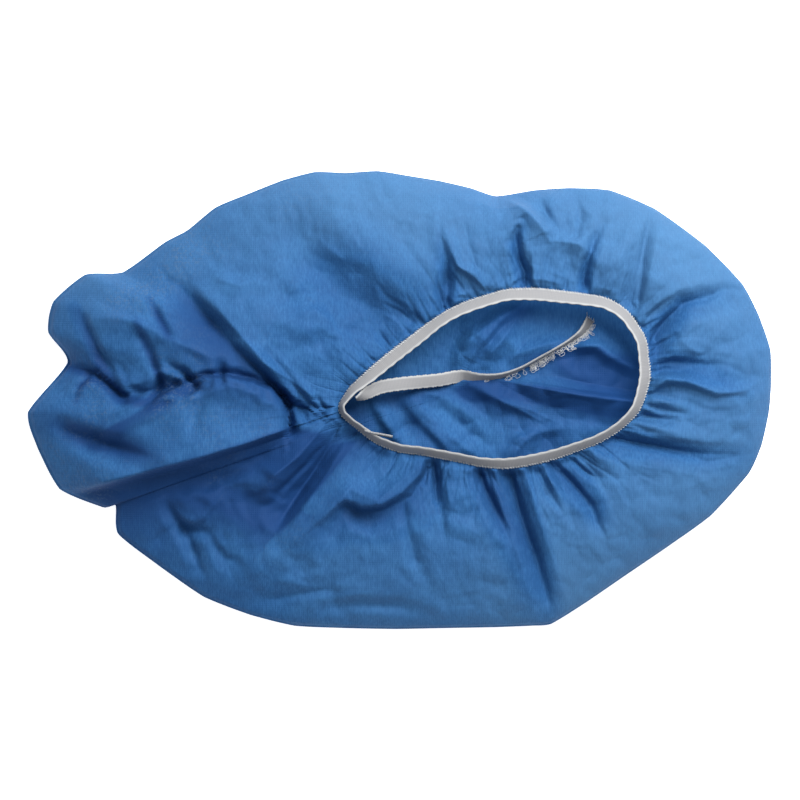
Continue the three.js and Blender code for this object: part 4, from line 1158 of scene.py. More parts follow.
@dataclass(frozen=True)
class ClothSettler:
    """Settles a grid of cloth that has more length than room, so that it buckles into pleats.

    Each round moves every point part of the way that brings the cloth's threads, its diagonals and
    its two-step spans to their own lengths, smooths what has moved, and pulls it a little back to the
    form that it started from. Columns are closed on themselves and the first and last rows are held.
    """

    rounds: int = 130
    hold: float = 0.008
    thread_pull: float = 0.5
    diagonal_pull: float = 0.3
    stiffness: float = 0.05
    step: float = 0.45
    smoothing: float = 0.01

    def settle(
        self, start: np.ndarray, across: np.ndarray, outward: np.ndarray, push: np.ndarray
    ) -> np.ndarray:
        """Settle the cloth.

        Args:
            start: The grid of points to start from, rows by columns by 3.
            across: How much longer the cloth is than its room along each row, 1 for no more.
            outward: The same from each row to the next.
            push: First displacement of each point, which decides where pleats form.

        Returns:
            The settled grid.
        """
        form = start.copy()
        grid = start + push
        row_step = np.roll(start, -1, axis=1) - start
        out_step = start[1:] - start[:-1]
        slack_row = row_step * across[..., None]
        slack_out = out_step * outward[:-1, :, None]
        long_row = np.linalg.norm(slack_row, axis=2)
        long_out = np.linalg.norm(slack_out, axis=2)
        rising = np.linalg.norm(slack_out + slack_row[1:], axis=2)
        falling = np.linalg.norm(slack_out - np.roll(slack_row, 1, axis=1)[1:], axis=2)
        span_row = np.linalg.norm(slack_row + np.roll(slack_row, -1, axis=1), axis=2)
        span_out = np.linalg.norm(slack_out[1:] + slack_out[:-1], axis=2)
        for _ in range(self.rounds):
            move = np.zeros_like(grid)
            self._tie_row(grid, move, 1, long_row, self.thread_pull)
            self._tie_out(grid, move, 1, 0, long_out, self.thread_pull)
            self._tie_out(grid, move, 1, 1, rising, self.diagonal_pull)
            self._tie_out(grid, move, 1, -1, falling, self.diagonal_pull)
            self._tie_row(grid, move, 2, span_row, self.stiffness)
            self._tie_out(grid, move, 2, 0, span_out, self.stiffness)
            grid[1:-1] += self.step * move[1:-1]
            moved = grid - form
            sides = np.roll(moved, 1, axis=1) + np.roll(moved, -1, axis=1)
            moved[1:-1] += self.smoothing * (sides[1:-1] + moved[2:] + moved[:-2] - 4 * moved[1:-1])
            grid[1:-1] = form[1:-1] + (1 - self.hold) * moved[1:-1]
        return grid

    @staticmethod
    def _tie_row(grid: np.ndarray, move: np.ndarray, reach: int, length: np.ndarray, share: float) -> None:
        """Pull points of one row that are reach columns apart to their own distance."""
        apart = np.roll(grid, -reach, axis=1) - grid
        now = np.linalg.norm(apart, axis=2)
        pull = apart * (share * (now - length) / np.maximum(now, 1e-9))[..., None]
        move += pull - np.roll(pull, reach, axis=1)

    @staticmethod
    def _tie_out(
        grid: np.ndarray, move: np.ndarray, reach: int, turn: int, length: np.ndarray, share: float
    ) -> None:
        """Pull points reach rows apart, and turn columns along, to their own distance."""
        apart = np.roll(grid[reach:], -turn, axis=1) - grid[:-reach]
        now = np.linalg.norm(apart, axis=2)
        pull = apart * (share * (now - length) / np.maximum(now, 1e-9))[..., None]
        move[:-reach] += pull
        move[reach:] -= np.roll(pull, turn, axis=1)


@dataclass
class Mouth:
    """The ring of the mouth: where the tape and the cloth beside it run."""

    columns: int = 760
    edge_weight: float = 1.0
    rim_weight: float = 1.2
    edge_straightness: float = 0.5
    overlap: float = 0.0006
    middle: np.ndarray = field(init=False)
    across: np.ndarray = field(init=False)
    face: np.ndarray = field(init=False)
    start: np.ndarray = field(init=False)
    leave: np.ndarray = field(init=False)
    edge: np.ndarray = field(init=False)
    along: np.ndarray = field(init=False)

    def __post_init__(self) -> None:
        """Work out every station of the ring."""
        rows = np.array([(s.rim_x, s.rim_y, s.edge_x, s.edge_y, s.crown, s.lean) for s in SECTIONS])
        places = self._even_places(rows)
        values = closed_spline(rows, places)
        corners = self.edge_straightness
        values[:, 2:4] += corners * (closed_straight(rows, places) - values)[:, 2:4]
        level = np.full(self.columns, MOUTH_HEIGHT)
        self.middle = np.column_stack([values[:, 0] * LENGTH, values[:, 1] * WIDTH, level])
        self.edge = np.column_stack([values[:, 2] * LENGTH, values[:, 3] * WIDTH, values[:, 4] * PUFF])
        run = np.roll(self.middle, -1, axis=0) - np.roll(self.middle, 1, axis=0)
        out = np.column_stack([run[:, 1], -run[:, 0], np.zeros(self.columns)])
        out /= np.linalg.norm(out, axis=1)[:, None]
        lean = np.radians(values[:, 5])[:, None]
        self.across = out * np.cos(lean) - UP * np.sin(lean)
        self.face = out * np.sin(lean) + UP * np.cos(lean)
        under = self.middle - self.face * (TAPE_THICKNESS / 2 + GAP)
        self.start = under - self.across * self.overlap
        self.leave = under + self.across * (TAPE_WIDTH / 2 + GAP)
        steps = np.linalg.norm(np.roll(self.middle, -1, axis=0) - self.middle, axis=1)
        self.along = np.concatenate([[0.0], np.cumsum(steps)[:-1]])

    def _even_places(self, rows: np.ndarray) -> np.ndarray:
        """Space the stations so that each covers the same length of tape and outer edge together.

        Args:
            rows: The section table.

        Returns:
            Places along the table, counted in rows.
        """
        fine = np.linspace(0, len(rows), 4901)
        values = closed_spline(rows, fine)
        rim = np.diff(values[:, :2], axis=0) * (LENGTH, WIDTH)
        edge = np.diff(values[:, 2:4], axis=0) * (LENGTH, WIDTH)
        cost = self.edge_weight * np.linalg.norm(edge, axis=1)
        cost += self.rim_weight * np.linalg.norm(rim, axis=1)
        total = np.concatenate([[0.0], np.cumsum(cost)])
        wanted = np.linspace(0, total[-1], self.columns, endpoint=False)
        return np.interp(wanted, total, fine)


@dataclass
class ClothBag:
    """The bag of nonwoven cloth, made as its upper and its sole layer.

    A set of pleats is its seed, pitch, height, reach away from the tape and number of knots. A rumple
    is its seed, wavelength and height. bunch is the place where the cloth is drawn together at the
    mouth's corner, as its centre's x and y and its reach along X and Y, and bunch_crumple is how much
    of the crumple shows there. Lengths are in metres.
    """

    mouth: Mouth
    settler: ClothSettler = ClothSettler()
    upper_rows: int = 106
    sole_rows: int = 62
    lining_rows: int = 16
    thickness: float = 0.0003
    edge_height: float = 0.0025
    edge_inset: float = 0.002
    edge_squareness: float = 2.8
    edge_steepness: float = 0.7
    # Painted fill light on the sole: how strong, how far in it reaches, and the side the light comes from.
    painted_fill_strength: float = 0.9
    painted_fill_reach: float = 0.015
    lit_from: tuple[float, float] = (0.56, 0.83)
    valley_softness: float = 0.0012
    crown_reach: float = 0.45
    fold_start: float = 0.005
    fold_end: float = 0.14
    sole_middle: tuple[float, float] = (0.128, 0.044)
    sole_lift: float = 0.0005
    sole_crumple: float = 1.5
    sole_rise: float = 0.0012
    fullness: float = 1.012
    fullness_by_tape: tuple[tuple[float, float], ...] = ((0.10, 0.012), (0.04, 0.04))
    fullness_outward: float = 1.008
    fullness_at_seam: float = 0.12
    quiet_share: float = 0.6
    quiet_height: float = 0.003
    lining_slack: float = 0.0009
    pleat_sets: tuple[tuple[int, float, float, float, int], ...] = (
        (3, 0.0066, 0.0010, 0.0060, 70),
        (8, 0.0118, 0.0021, 0.0140, 52),
        (13, 0.021, 0.0014, 0.0300, 30),
    )
    creasings: tuple[Creasing, ...] = (
        Creasing(46, 51, (0.04, 0.10), (0.010, 0.026), 0.0027),
        Creasing(170, 52, (0.016, 0.05), (0.004, 0.011), 0.0016),
        Creasing(700, 53, (0.006, 0.018), (0.0020, 0.005), 0.0007),
    )
    crumple: Creasing = Creasing(1100, 54, (0.006, 0.020), (0.0022, 0.006), 0.0021)
    crumple_reach: float = 0.014
    bunch: tuple[float, float, float, float] = (-0.092, 0.007, 0.058, 0.012)
    bunch_crumple: float = 0.6
    rumples: tuple[tuple[int, float, float], ...] = (
        (61, 0.046, 0.0009),
        (62, 0.025, 0.0005),
        (63, 0.013, 0.0003),
    )

    def pleats(self, distance: np.ndarray) -> np.ndarray:
        """Small pleats that the tape draws in: ripples along the tape that die away outward.

        Args:
            distance: How far each point is from the tape, rows by columns, in metres.

        Returns:
            Heights in metres. Each set is 2 |cos(p / 2)|^0.75 - 1.2 of an uneven phase p along the tape,
            which has round crests and sharp valleys, and it dies away with the distance.
        """
        along = self.mouth.along
        total = np.zeros_like(distance)
        for seed, pitch, height, reach, knots in self.pleat_sets:
            chance = np.random.default_rng(seed)
            rates = chance.uniform(0.6, 1.5, knots)
            rate = np.interp(along, np.linspace(0, along[-1], knots), rates) / pitch
            phase = TURN * np.cumsum(rate * np.gradient(along))
            phase *= TURN * round(phase[-1] / TURN) / phase[-1]
            spots = np.linspace(0, along[-1], knots)
            power = np.interp(along, spots, chance.uniform(0.25, 1.3, knots))
            reaches = reach * np.interp(along, spots, chance.uniform(0.5, 1.6, knots))
            fade = smoothstep(distance / (0.4 * self.fold_start)) * np.exp(-distance / reaches)
            wander = 0.9 * np.sin(distance / 0.009 + 3 * np.sin(phase / 7)[None, :])
            crest = np.abs(np.cos((phase[None, :] + wander) / 2)) ** 0.75
            total += height * power * fade * (2 * crest - 1.2)
        return total

    def rumple(self, x: np.ndarray, y: np.ndarray) -> np.ndarray:
        """Crisp creases all over: the absolute value of smooth ripples, which folds them along sharp lines.

        Args:
            x: Places along X, in metres.
            y: Places along Y, in metres.

        Returns:
            Heights in metres, lower at the creases. A slow ripple makes them stronger in some places.
        """
        where = smoothstep(0.5 + 0.4 * ripple_field(x, y, 0.09, 60))
        total = np.zeros_like(x)
        for seed, wavelength, height in self.rumples:
            total += height * (np.abs(ripple_field(x, y, wavelength, seed)) - 0.8)
        return total * (0.35 + 0.65 * where)

    def upper_form(self) -> np.ndarray:
        """The upper layer before it is settled.

        From the tape to the outer edge its height goes from the tape's underside to the crown height
        as smoothstep, times (1 - s^n)^0.7 for the rolled edge, plus the folds, pleats and ripples.

        Returns:
            Grid of points, rows by columns by 3.
        """
        mouth = self.mouth
        t = np.linspace(0, 1, self.upper_rows - 2)
        share = (0.62 * t + 0.38 * (0.5 - 0.5 * np.cos(math.pi * t)))[:, None]
        x = mouth.leave[:, 0] + share * (mouth.edge[:, 0] - mouth.leave[:, 0])
        y = mouth.leave[:, 1] + share * (mouth.edge[:, 1] - mouth.leave[:, 1])
        distance = np.hypot(x - mouth.leave[:, 0], y - mouth.leave[:, 1])
        crown = smoothstep(share / self.crown_reach)
        flat = mouth.leave[:, 2] + crown * (mouth.edge[:, 2] - mouth.leave[:, 2])
        roll = np.maximum(0, 1 - share**self.edge_squareness) ** self.edge_steepness
        inside = smoothstep(distance / self.fold_start) * np.minimum(1, (1 - share) / self.fold_end)
        height = self.edge_height + (flat - self.edge_height) * roll
        folds = fold_heights(UPPER_FOLDS, x, y)
        quiet = 1 - self.quiet_share * np.clip(np.abs(folds) / self.quiet_height, 0, 1)
        bunch_x, bunch_y, bunch_length, bunch_width = self.bunch
        bunched = np.exp(-(((x - bunch_x) / bunch_length) ** 2) - ((y - bunch_y) / bunch_width) ** 2)
        near = np.maximum(np.exp(-distance / self.crumple_reach), self.bunch_crumple * bunched)
        random = sum(creasing.heights(x, y) for creasing in self.creasings)
        random += near * self.crumple.heights(x, y) + self.rumple(x, y)
        height += inside * (folds + quiet * random) + roll * quiet * self.pleats(distance)
        over = (height - self.edge_height) / self.valley_softness
        lifted = self.valley_softness * np.logaddexp(0, over)
        height = self.edge_height + lifted * smoothstep((1 - share) / 0.02)
        form = np.stack([x, y, height], axis=-1)
        return np.concatenate([mouth.start[None], ((mouth.start + mouth.leave) / 2)[None], form])

    def settled_upper(self) -> np.ndarray:
        """The upper layer with its spare cloth buckled into pleats.

        The cloth is longer than its room along the tape, most of all beside it, and along the bunched
        seam at the far end.

        Returns:
            Grid of points, rows by columns by 3.
        """
        form = self.upper_form()
        x, y = form[..., 0], form[..., 1]
        distance = np.hypot(x - form[1, :, 0], y - form[1, :, 1])
        seam = fold_heights((replace_heights(UPPER_FOLDS[0], 1.0),), x, y) / PUFF
        across = np.full_like(distance, self.fullness)
        for more, reach in self.fullness_by_tape:
            across += more * np.exp(-distance / reach)
        outward = self.fullness_outward + self.fullness_at_seam * np.clip(seam, 0, 1)
        lift = 0.0004 * ripple_field(x, y, 0.009, 31)
        push = (lift * smoothstep(distance / 0.004))[..., None] * UP
        push[[0, 1, -1]] = 0
        return self.settler.settle(form, across, outward, push)

    def sole_form(self) -> np.ndarray:
        """The sole layer: flat but for the folds that show through the mouth.

        Returns:
            Grid of points from the outer edge to a small ring round the middle, rows by columns by 3.
        """
        mouth = self.mouth
        middle = np.array(self.sole_middle) * (LENGTH, WIDTH)
        edge = mouth.edge[:, :2]
        inward = middle - edge
        reach = np.linalg.norm(inward, axis=1)
        inset = edge + inward / reach[:, None] * self.edge_inset
        rim = np.linalg.norm(mouth.middle[:, :2] - middle, axis=1)
        near = np.minimum(0.9, 1.12 * rim / reach)
        t = np.linspace(0, 1, self.sole_rows - 8)[:, None]
        outer = np.linspace(0, 1, 7)[:-1, None]
        share = np.concatenate([outer * (1 - near), (1 - near) + near * t * 0.992])
        plan = inset + share[..., None] * (middle - inset)
        x, y = plan[..., 0], plan[..., 1]
        ripples = 0.9 * sum(creasing.heights(x + 0.02, y - 0.013) for creasing in self.creasings[1:])
        ripples += self.rumple(x + 0.02, y - 0.013)
        shown = smoothstep((rim * 1.25 - np.linalg.norm(plan - middle, axis=2)) / 0.012)
        folds = fold_heights(SOLE_FOLDS, x, y)
        crumpled = shown * (self.sole_crumple * ripples + self.sole_rise)
        height = self.sole_lift + np.maximum(0, folds + crumpled)
        form = np.stack([x, y, height], axis=-1)
        top_ring = np.column_stack([edge, np.full(mouth.columns, self.edge_height)])
        bend = edge + (inset - edge) * 0.3
        bend_ring = np.column_stack([bend, np.full(mouth.columns, self.edge_height * 0.4)])
        return np.concatenate([top_ring[None], bend_ring[None], form])

    def painted_fill_light(self, points: np.ndarray) -> np.ndarray:
        """Painted light: emission that lightens the sole where the mouth's rim casts its shadow on it.

        It is exp(-d / 15 mm) at a distance d inside the mouth's rim, and less on the side of the rim
        that is away from the light.

        Args:
            points: The sole's points.

        Returns:
            Emission strength of each point.
        """
        middle = self.mouth.middle[:, :2].mean(axis=0)
        rim = self.mouth.middle[::8, :2]
        away = points[:, None, :2] - rim[None]
        distance = np.linalg.norm(away, axis=2)
        nearest = np.argmin(distance, axis=1)
        outward = rim - middle
        outward /= np.linalg.norm(outward, axis=1)[:, None]
        lit_side = np.clip(outward @ np.array(self.lit_from), 0, 1)[nearest]
        faded = self.painted_fill_strength * np.exp(-distance.min(axis=1) / self.painted_fill_reach)
        return faded * (0.25 + 0.75 * lit_side)

    def build(self, layer: Layer, finish: bpy.types.Material) -> bpy.types.Object:
        """Make one layer of the bag as a thin closed shell.

        Args:
            layer: Which of the two.
            finish: The cloth's material.

        Returns:
            The layer, with its wall inside the surface that is seen from outside.
        """
        grid = self.settled_upper() if layer is Layer.UPPER else self.sole_form()
        rows, columns = grid.shape[:2]
        faces = ring_faces(rows, columns)
        fan = None
        points = grid.reshape(-1, 3)
        if layer is Layer.UPPER:
            points, faces = self._lined(grid)
        else:
            last = (rows - 1) * columns + np.arange(columns)
            fan = np.stack([last, np.full(columns, len(points)), np.roll(last, -1)], axis=-1)
            points = np.vstack([points, grid[-1].mean(axis=0)])
        piece = new_object("cover_" + layer.value, points, faces, finish, fan)
        set_uv(piece, points[:, :2])
        # Painted shade (above 0) and painted light (below 0) from the tables, and painted fill light on the
        # sole.
        painted_shade_tables = UPPER_PAINTED_SHADE if layer is Layer.UPPER else SOLE_PAINTED_SHADE
        painted_shade = np.clip(fold_heights(painted_shade_tables, points[:, 0], points[:, 1]) / PUFF, -1, 1)
        painted_fill_light = self.painted_fill_light(points) if layer is Layer.SOLE else np.zeros(len(points))
        for name, values in (("painted_shade", painted_shade), ("painted_fill_light", painted_fill_light)):
            attribute = piece.data.attributes.new(name, "FLOAT", "POINT")
            attribute.data.foreach_set("value", values.astype(np.float32))
        if layer is Layer.SOLE:
            wall = piece.modifiers.new("wall", "SOLIDIFY")
            wall.thickness = self.thickness
            wall.offset = -1
        return piece

    def _lined(self, grid: np.ndarray) -> tuple[np.ndarray, np.ndarray]:
        """Close the upper layer with an inner face that has fewer rows.

        Each point of the inner face lies under the lowest point of the outer one near it, by the
        thickness and a little more away from its two ends, so that no crease of the outer face cuts it.

        Args:
            grid: The outer face, rows by columns by 3.

        Returns:
            The points and faces of both faces and of the two rims between them.
        """
        rows, columns = grid.shape[:2]
        lowest = grid[..., 2].copy()
        for reach in (1, 2, 4, 8):
            sides = np.minimum(np.roll(lowest, reach, axis=1), np.roll(lowest, -reach, axis=1))
            lowest = np.minimum(lowest, sides)
        for _ in range(4):
            lowest[2:-2] = np.minimum(lowest[2:-2], np.minimum(lowest[1:-3], lowest[3:-1]))
        between = np.linspace(6, rows - 4, self.lining_rows - 5)
        chosen = np.unique(np.concatenate([[0, 1, 3], between, [rows - 2, rows - 1]]).astype(int))
        share = chosen / (rows - 1)
        depth = self.thickness + self.lining_slack * np.clip(np.minimum(share, 1 - share) / 0.06, 0, 1)
        inner = grid[chosen].copy()
        inner[..., 2] = np.maximum(lowest[chosen] - depth[:, None], self.edge_height / 2)
        inner_faces = ring_faces(len(chosen), columns)[:, ::-1] + rows * columns
        column = np.arange(columns)
        following = np.roll(column, -1)
        first = rows * columns
        top = np.stack([column, following, following + first, column + first], axis=-1)
        outer_last = (rows - 1) * columns
        inner_last = first + (len(chosen) - 1) * columns
        outer_edge = [following + outer_last, column + outer_last]
        bottom = np.stack([*outer_edge, column + inner_last, following + inner_last], axis=-1)
        points = np.concatenate([grid.reshape(-1, 3), inner.reshape(-1, 3)])
        faces = np.concatenate([ring_faces(rows, columns), inner_faces, top, bottom])
        return points, faces


def replace_heights(fold: Fold, height: float) -> Fold:
    """Copy a fold with one height all along it, and twice its spread.

    Args:
        fold: The fold to copy.
        height: The new height, in shares of PUFF.

    Returns:
        The copy.
    """
    path = tuple((x, y, height) for x, y, _ in fold.path)
    return Fold(fold.name, Crest.ROUND, fold.left * 2, fold.right * 2, path)


def swept(
    middle: np.ndarray, across: np.ndarray, face: np.ndarray, profile: np.ndarray, closed: bool
) -> tuple[np.ndarray, np.ndarray]:
    """Carry a profile along a path.

    A point is middle + u * across + v * face, with (u, v) from the profile at that station.

    Args:
        middle: Centre of each station.
        across: Unit direction of the profile's u at each station.
        face: Unit direction of the profile's v at each station.
        profile: The (u, v) points of each station, stations by points by 2, an even number of them.
        closed: Whether the last station joins the first; if not, the ends are capped.

    Returns:
        The points and the four-sided faces, turned outward.
    """
    stations, count = profile.shape[:2]
    points = middle[:, None] + profile[..., :1] * across[:, None] + profile[..., 1:] * face[:, None]
    bands = stations if closed else stations - 1
    row, column = np.meshgrid(np.arange(bands), np.arange(count), indexing="ij")
    a = row * count + column
    b = row * count + (column + 1) % count
    step = (row + 1) % stations * count
    faces = np.stack([a, b, step + (column + 1) % count, step + column], axis=-1).reshape(-1, 4)
    if not closed:
        n = np.arange(count // 2 - 1)
        cap = np.stack([n, count - 1 - n, count - 2 - n, n + 1], axis=-1)
        faces = np.concatenate([faces, cap, cap[:, ::-1] + (stations - 1) * count])
    return points.reshape(-1, 3), turned_out(points.reshape(-1, 3), faces)


def turned_out(points: np.ndarray, faces: np.ndarray) -> np.ndarray:
    """Turn the faces of a closed body outward, by the sign of its volume.

    Args:
        points: The corners.
        faces: Four corner numbers a face.

    Returns:
        The faces, reversed if the body was inside out.
    """
    a, b, c, d = (points[faces[:, n]] for n in range(4))
    volume = np.einsum("ij,ij->i", a, np.cross(b, c)).sum() + np.einsum("ij,ij->i", a, np.cross(c, d)).sum()
    return faces if volume > 0 else faces[:, ::-1]


def tubes(paths: np.ndarray, radius: float) -> tuple[np.ndarray, np.ndarray]:
    """Thin six-sided tubes along many short paths at once.

    The section turns with the path: its first direction is the path's own, crossed with a fixed slant.

    Args:
        paths: Tubes by stations by 3.
        radius: Radius of every tube, in metres.

    Returns:
        The points and the four-sided faces of all the tubes, with their ends capped.
    """
    number, stations = paths.shape[:2]
    along = np.gradient(paths, axis=1)
    along /= np.maximum(np.linalg.norm(along, axis=2), 1e-12)[..., None]
    side = np.cross(along, np.array([0.31, 0.47, 0.83]))
    side /= np.maximum(np.linalg.norm(side, axis=2), 1e-12)[..., None]
    other = np.cross(along, side)
    turn = np.arange(6) * TURN / 6
    ring = side[:, :, None] * np.cos(turn)[:, None] + other[:, :, None] * np.sin(turn)[:, None]
    points = paths[:, :, None] + radius * ring
    row, column = np.meshgrid(np.arange(stations - 1), np.arange(6), indexing="ij")
    a = row * 6 + column
    b = row * 6 + (column + 1) % 6
    wall = np.stack([a, b, b + 6, a + 6], axis=-1).reshape(-1, 4)
    last = (stations - 1) * 6
    caps = np.array([[3, 2, 1, 0], [5, 4, 3, 0], [0, 1, 2, 3], [0, 3, 4, 5]])
    caps[2:] += last
    one = np.concatenate([wall, caps])
    faces = (one[None] + (np.arange(number) * stations * 6)[:, None, None]).reshape(-1, 4)
    return points.reshape(-1, 3), faces


def tape_profile(stations: int, points: int = 16) -> np.ndarray:
    """The section of the tape: a flat band with rounded, slightly thicker edges.

    With the angle a round the section, u = |cos a|^0.4 of W/2 and v = |sin a|^0.7 of T/2 with their
    signs. v grows from 0.85 to 1.15 of that towards the edges, and the whole band is bowed up by
    0.12 (1 - 2u^2) of T.

    Args:
        stations: How many copies to give.
        points: Points round the section.

    Returns:
        Stations by points by 2, in metres.
    """
    angle = (np.arange(points) + 0.5) * TURN / points
    cosine, sine = np.cos(angle), np.sin(angle)
    u = np.sign(cosine) * np.abs(cosine) ** 0.4
    v = np.sign(sine) * np.abs(sine) ** 0.7 * (0.85 + 0.3 * np.abs(u) ** 3)
    bow = 0.12 * (1 - 2 * u**2) * TAPE_THICKNESS
    profile = np.column_stack([u * TAPE_WIDTH / 2, v * TAPE_THICKNESS / 2 + bow])
    return np.repeat(profile[None], stations, axis=0)


@dataclass
class ElasticRing:
    """The tape sewn round the mouth, with the overlock stitches that hold it to the cloth."""

    ring: Mouth
    stitch_pitch: float = 0.0013
    stitch_bite: float = 0.00036
    stitch_slant: float = 0.55
    stitch_points: int = 7
    stitch_seed: int = 5
    thread_radius: float = 0.00014

    def build(self, finish: bpy.types.Material) -> bpy.types.Object:
        """Make the tape.

        Args:
            finish: The tape's material.

        Returns:
            The tape, its outer edge drawn into a saw-tooth line by the stitches.
        """
        ring = self.ring
        count = ring.columns
        profile = tape_profile(count)
        total = ring.along[-1] + ring.along[1]
        stitches = round(total / self.stitch_pitch)
        tooth = np.abs((ring.along / total * stitches) % 1.0 - 0.5) * 2
        bite = self.stitch_bite * (0.6 + 0.4 * np.sin(TURN * 9 * ring.along / total))
        outer = np.clip(profile[..., 0] / (TAPE_WIDTH / 2), 0, 1) ** 3
        inner = np.clip(-profile[..., 0] / (TAPE_WIDTH / 2), 0, 1) ** 3
        profile[..., 0] += outer * (bite * (tooth - 0.5))[:, None]
        waver = 0.00016 * np.sin(TURN * 61 * ring.along / total + 2 * np.sin(TURN * 5 * ring.along / total))
        profile[..., 0] += inner * waver[:, None]
        ripple = 2.5 * np.sin(TURN * 7 * ring.along / total)
        ripple = 0.00012 * np.sin(TURN * 83 * ring.along / total + ripple)
        profile[..., 1] += outer * ripple[:, None]
        points, faces = swept(ring.middle, ring.across, ring.face, profile, closed=True)
        piece = new_object("mouth_elastic", points, faces, finish)
        across = np.broadcast_to(profile[..., 0] + (profile[..., 1] < 0) * TAPE_WIDTH, profile.shape[:2])
        along = np.broadcast_to(ring.along[:, None], profile.shape[:2])
        set_uv(piece, np.stack([along, across], axis=-1).reshape(-1, 2))
        return piece

    def stitches(self, finish: bpy.types.Material) -> bpy.types.Object:
        """Make the overlock stitches: a small thread loop over the tape's outer edge at each pitch.

        Each loop starts on the tape, 0.7 to 1.4 mm inside its edge, goes over the edge and down into the
        cloth beside it, slanting along by about half a pitch.

        Args:
            finish: The thread's material.

        Returns:
            All the loops as one piece.
        """
        ring = self.ring
        total = ring.along[-1] + ring.along[1]
        number = round(total / self.stitch_pitch)
        chance = np.random.default_rng(self.stitch_seed)
        base = (np.arange(number) + chance.uniform(-0.15, 0.15, number)) / number * total
        t = np.linspace(0, 1, self.stitch_points)
        place = base[:, None] + self.stitch_pitch * self.stitch_slant * t
        column = place / total * ring.columns
        lines = (ring.middle, ring.across, ring.face)
        shape = (number, self.stitch_points, 3)
        middle, across, face = (closed_spline(line, column.ravel()).reshape(shape) for line in lines)
        inside = chance.uniform(0.0007, 0.0014, number)[:, None]
        outside = chance.uniform(0.0003, 0.0008, number)[:, None]
        u = TAPE_WIDTH / 2 - inside + t * (inside + outside)
        v = TAPE_THICKNESS / 2 + 0.0001 - 0.0009 * np.clip(t - 0.55, 0, 1) / 0.45
        paths = middle + u[..., None] * across + v[:, None] * face
        points, faces = tubes(paths, self.thread_radius)
        return new_object("mouth_stitches", points, faces, finish)


@dataclass
class LooseTape:
    """A loose end of the tape."""

    name: str
    rows: tuple[TapePoint, ...]
    lying_clearance: float = 0.0019
    steps: int = 16

    def stations(self) -> tuple[np.ndarray, np.ndarray, np.ndarray]:
        """Follow the end's own curve.

        It hangs at its own heights, or else lies on the sole: its lowest corner is a clearance above the
        highest fold under its width.

        Returns:
            Middle, across and face of each station.
        """
        rows = np.array([(p.x * LENGTH, p.y * WIDTH, p.hang * MOUTH_HEIGHT, p.roll) for p in self.rows])
        hang = rows[:, 2]
        plan = rows[:, :2]
        lying = self._lying(plan, np.radians(rows[:, 3]))
        rows[:, 2] = np.maximum(hang, lying)
        values = open_spline(rows, np.linspace(0, len(rows) - 1, (len(rows) - 1) * self.steps + 1))
        roll = np.radians(values[:, 3])
        floor = self._lying(values[:, :2], roll)
        middle = values[:, :3].copy()
        middle[:, 2] = np.maximum(middle[:, 2], floor)
        kernel = np.hanning(9) / np.hanning(9).sum()
        middle[:, 2] = np.convolve(np.pad(middle[:, 2], 4, mode="edge"), kernel, mode="valid")
        across, face = self._frame(middle, roll)
        return middle, across, face

    def _frame(self, middle: np.ndarray, roll: np.ndarray) -> tuple[np.ndarray, np.ndarray]:
        """Directions across the tape and out of its face, from its plan direction and its roll."""
        run = np.gradient(middle[:, :2], axis=0)
        run /= np.linalg.norm(run, axis=1)[:, None]
        sideways = np.column_stack([run[:, 1], -run[:, 0], np.zeros(len(run))])
        across = sideways * np.cos(roll)[:, None] - UP * np.sin(roll)[:, None]
        face = sideways * np.sin(roll)[:, None] + UP * np.cos(roll)[:, None]
        return across, face

    def _lying(self, plan: np.ndarray, roll: np.ndarray) -> np.ndarray:
        """Height of the tape's middle where it lies on the sole."""
        middle = np.column_stack([plan, np.zeros(len(plan))])
        across, _ = self._frame(middle, roll)
        height = np.zeros(len(plan))
        for share in np.linspace(-0.5, 0.5, 5):
            spot = middle + share * TAPE_WIDTH * across
            ground = np.maximum(0, fold_heights(SOLE_FOLDS, spot[:, 0], spot[:, 1]))
            height = np.maximum(height, ground + self.lying_clearance + TAPE_THICKNESS / 2 - spot[:, 2])
        return height

    def build(self, finish: bpy.types.Material) -> bpy.types.Object:
        """Make the end.

        Args:
            finish: The tape's material.

        Returns:
            The tape end, with uneven edges.
        """
        middle, across, face = self.stations()
        steps = np.linalg.norm(np.diff(middle, axis=0), axis=1)
        along = np.concatenate([[0.0], np.cumsum(steps)])
        profile = tape_profile(len(middle))
        edge = np.abs(profile[..., 0] / (TAPE_WIDTH / 2)) ** 3
        waver = 0.00018 * np.sin(along * 4200) + 0.00012 * np.sin(along * 1700 + 1)
        profile[..., 0] += np.sign(profile[..., 0]) * edge * waver[:, None]
        points, faces = swept(middle, across, face, profile, closed=False)
        piece = new_object(self.name, points, faces, finish)
        across_uv = profile[..., 0] + (profile[..., 1] < 0) * TAPE_WIDTH
        along_uv = np.broadcast_to(along[:, None], across_uv.shape)
        set_uv(piece, np.stack([along_uv, across_uv], axis=-1).reshape(-1, 2))
        return piece

    def path(self, points: int = 30) -> list[tuple[float, float, float]]:
        """The end's centre line, thinned out.

        Args:
            points: How many points to give.

        Returns:
            The points, in metres.
        """
        middle = self.stations()[0]
        chosen = np.linspace(0, len(middle) - 1, points).round().astype(int)
        return [tuple(float(value) for value in middle[n]) for n in chosen]


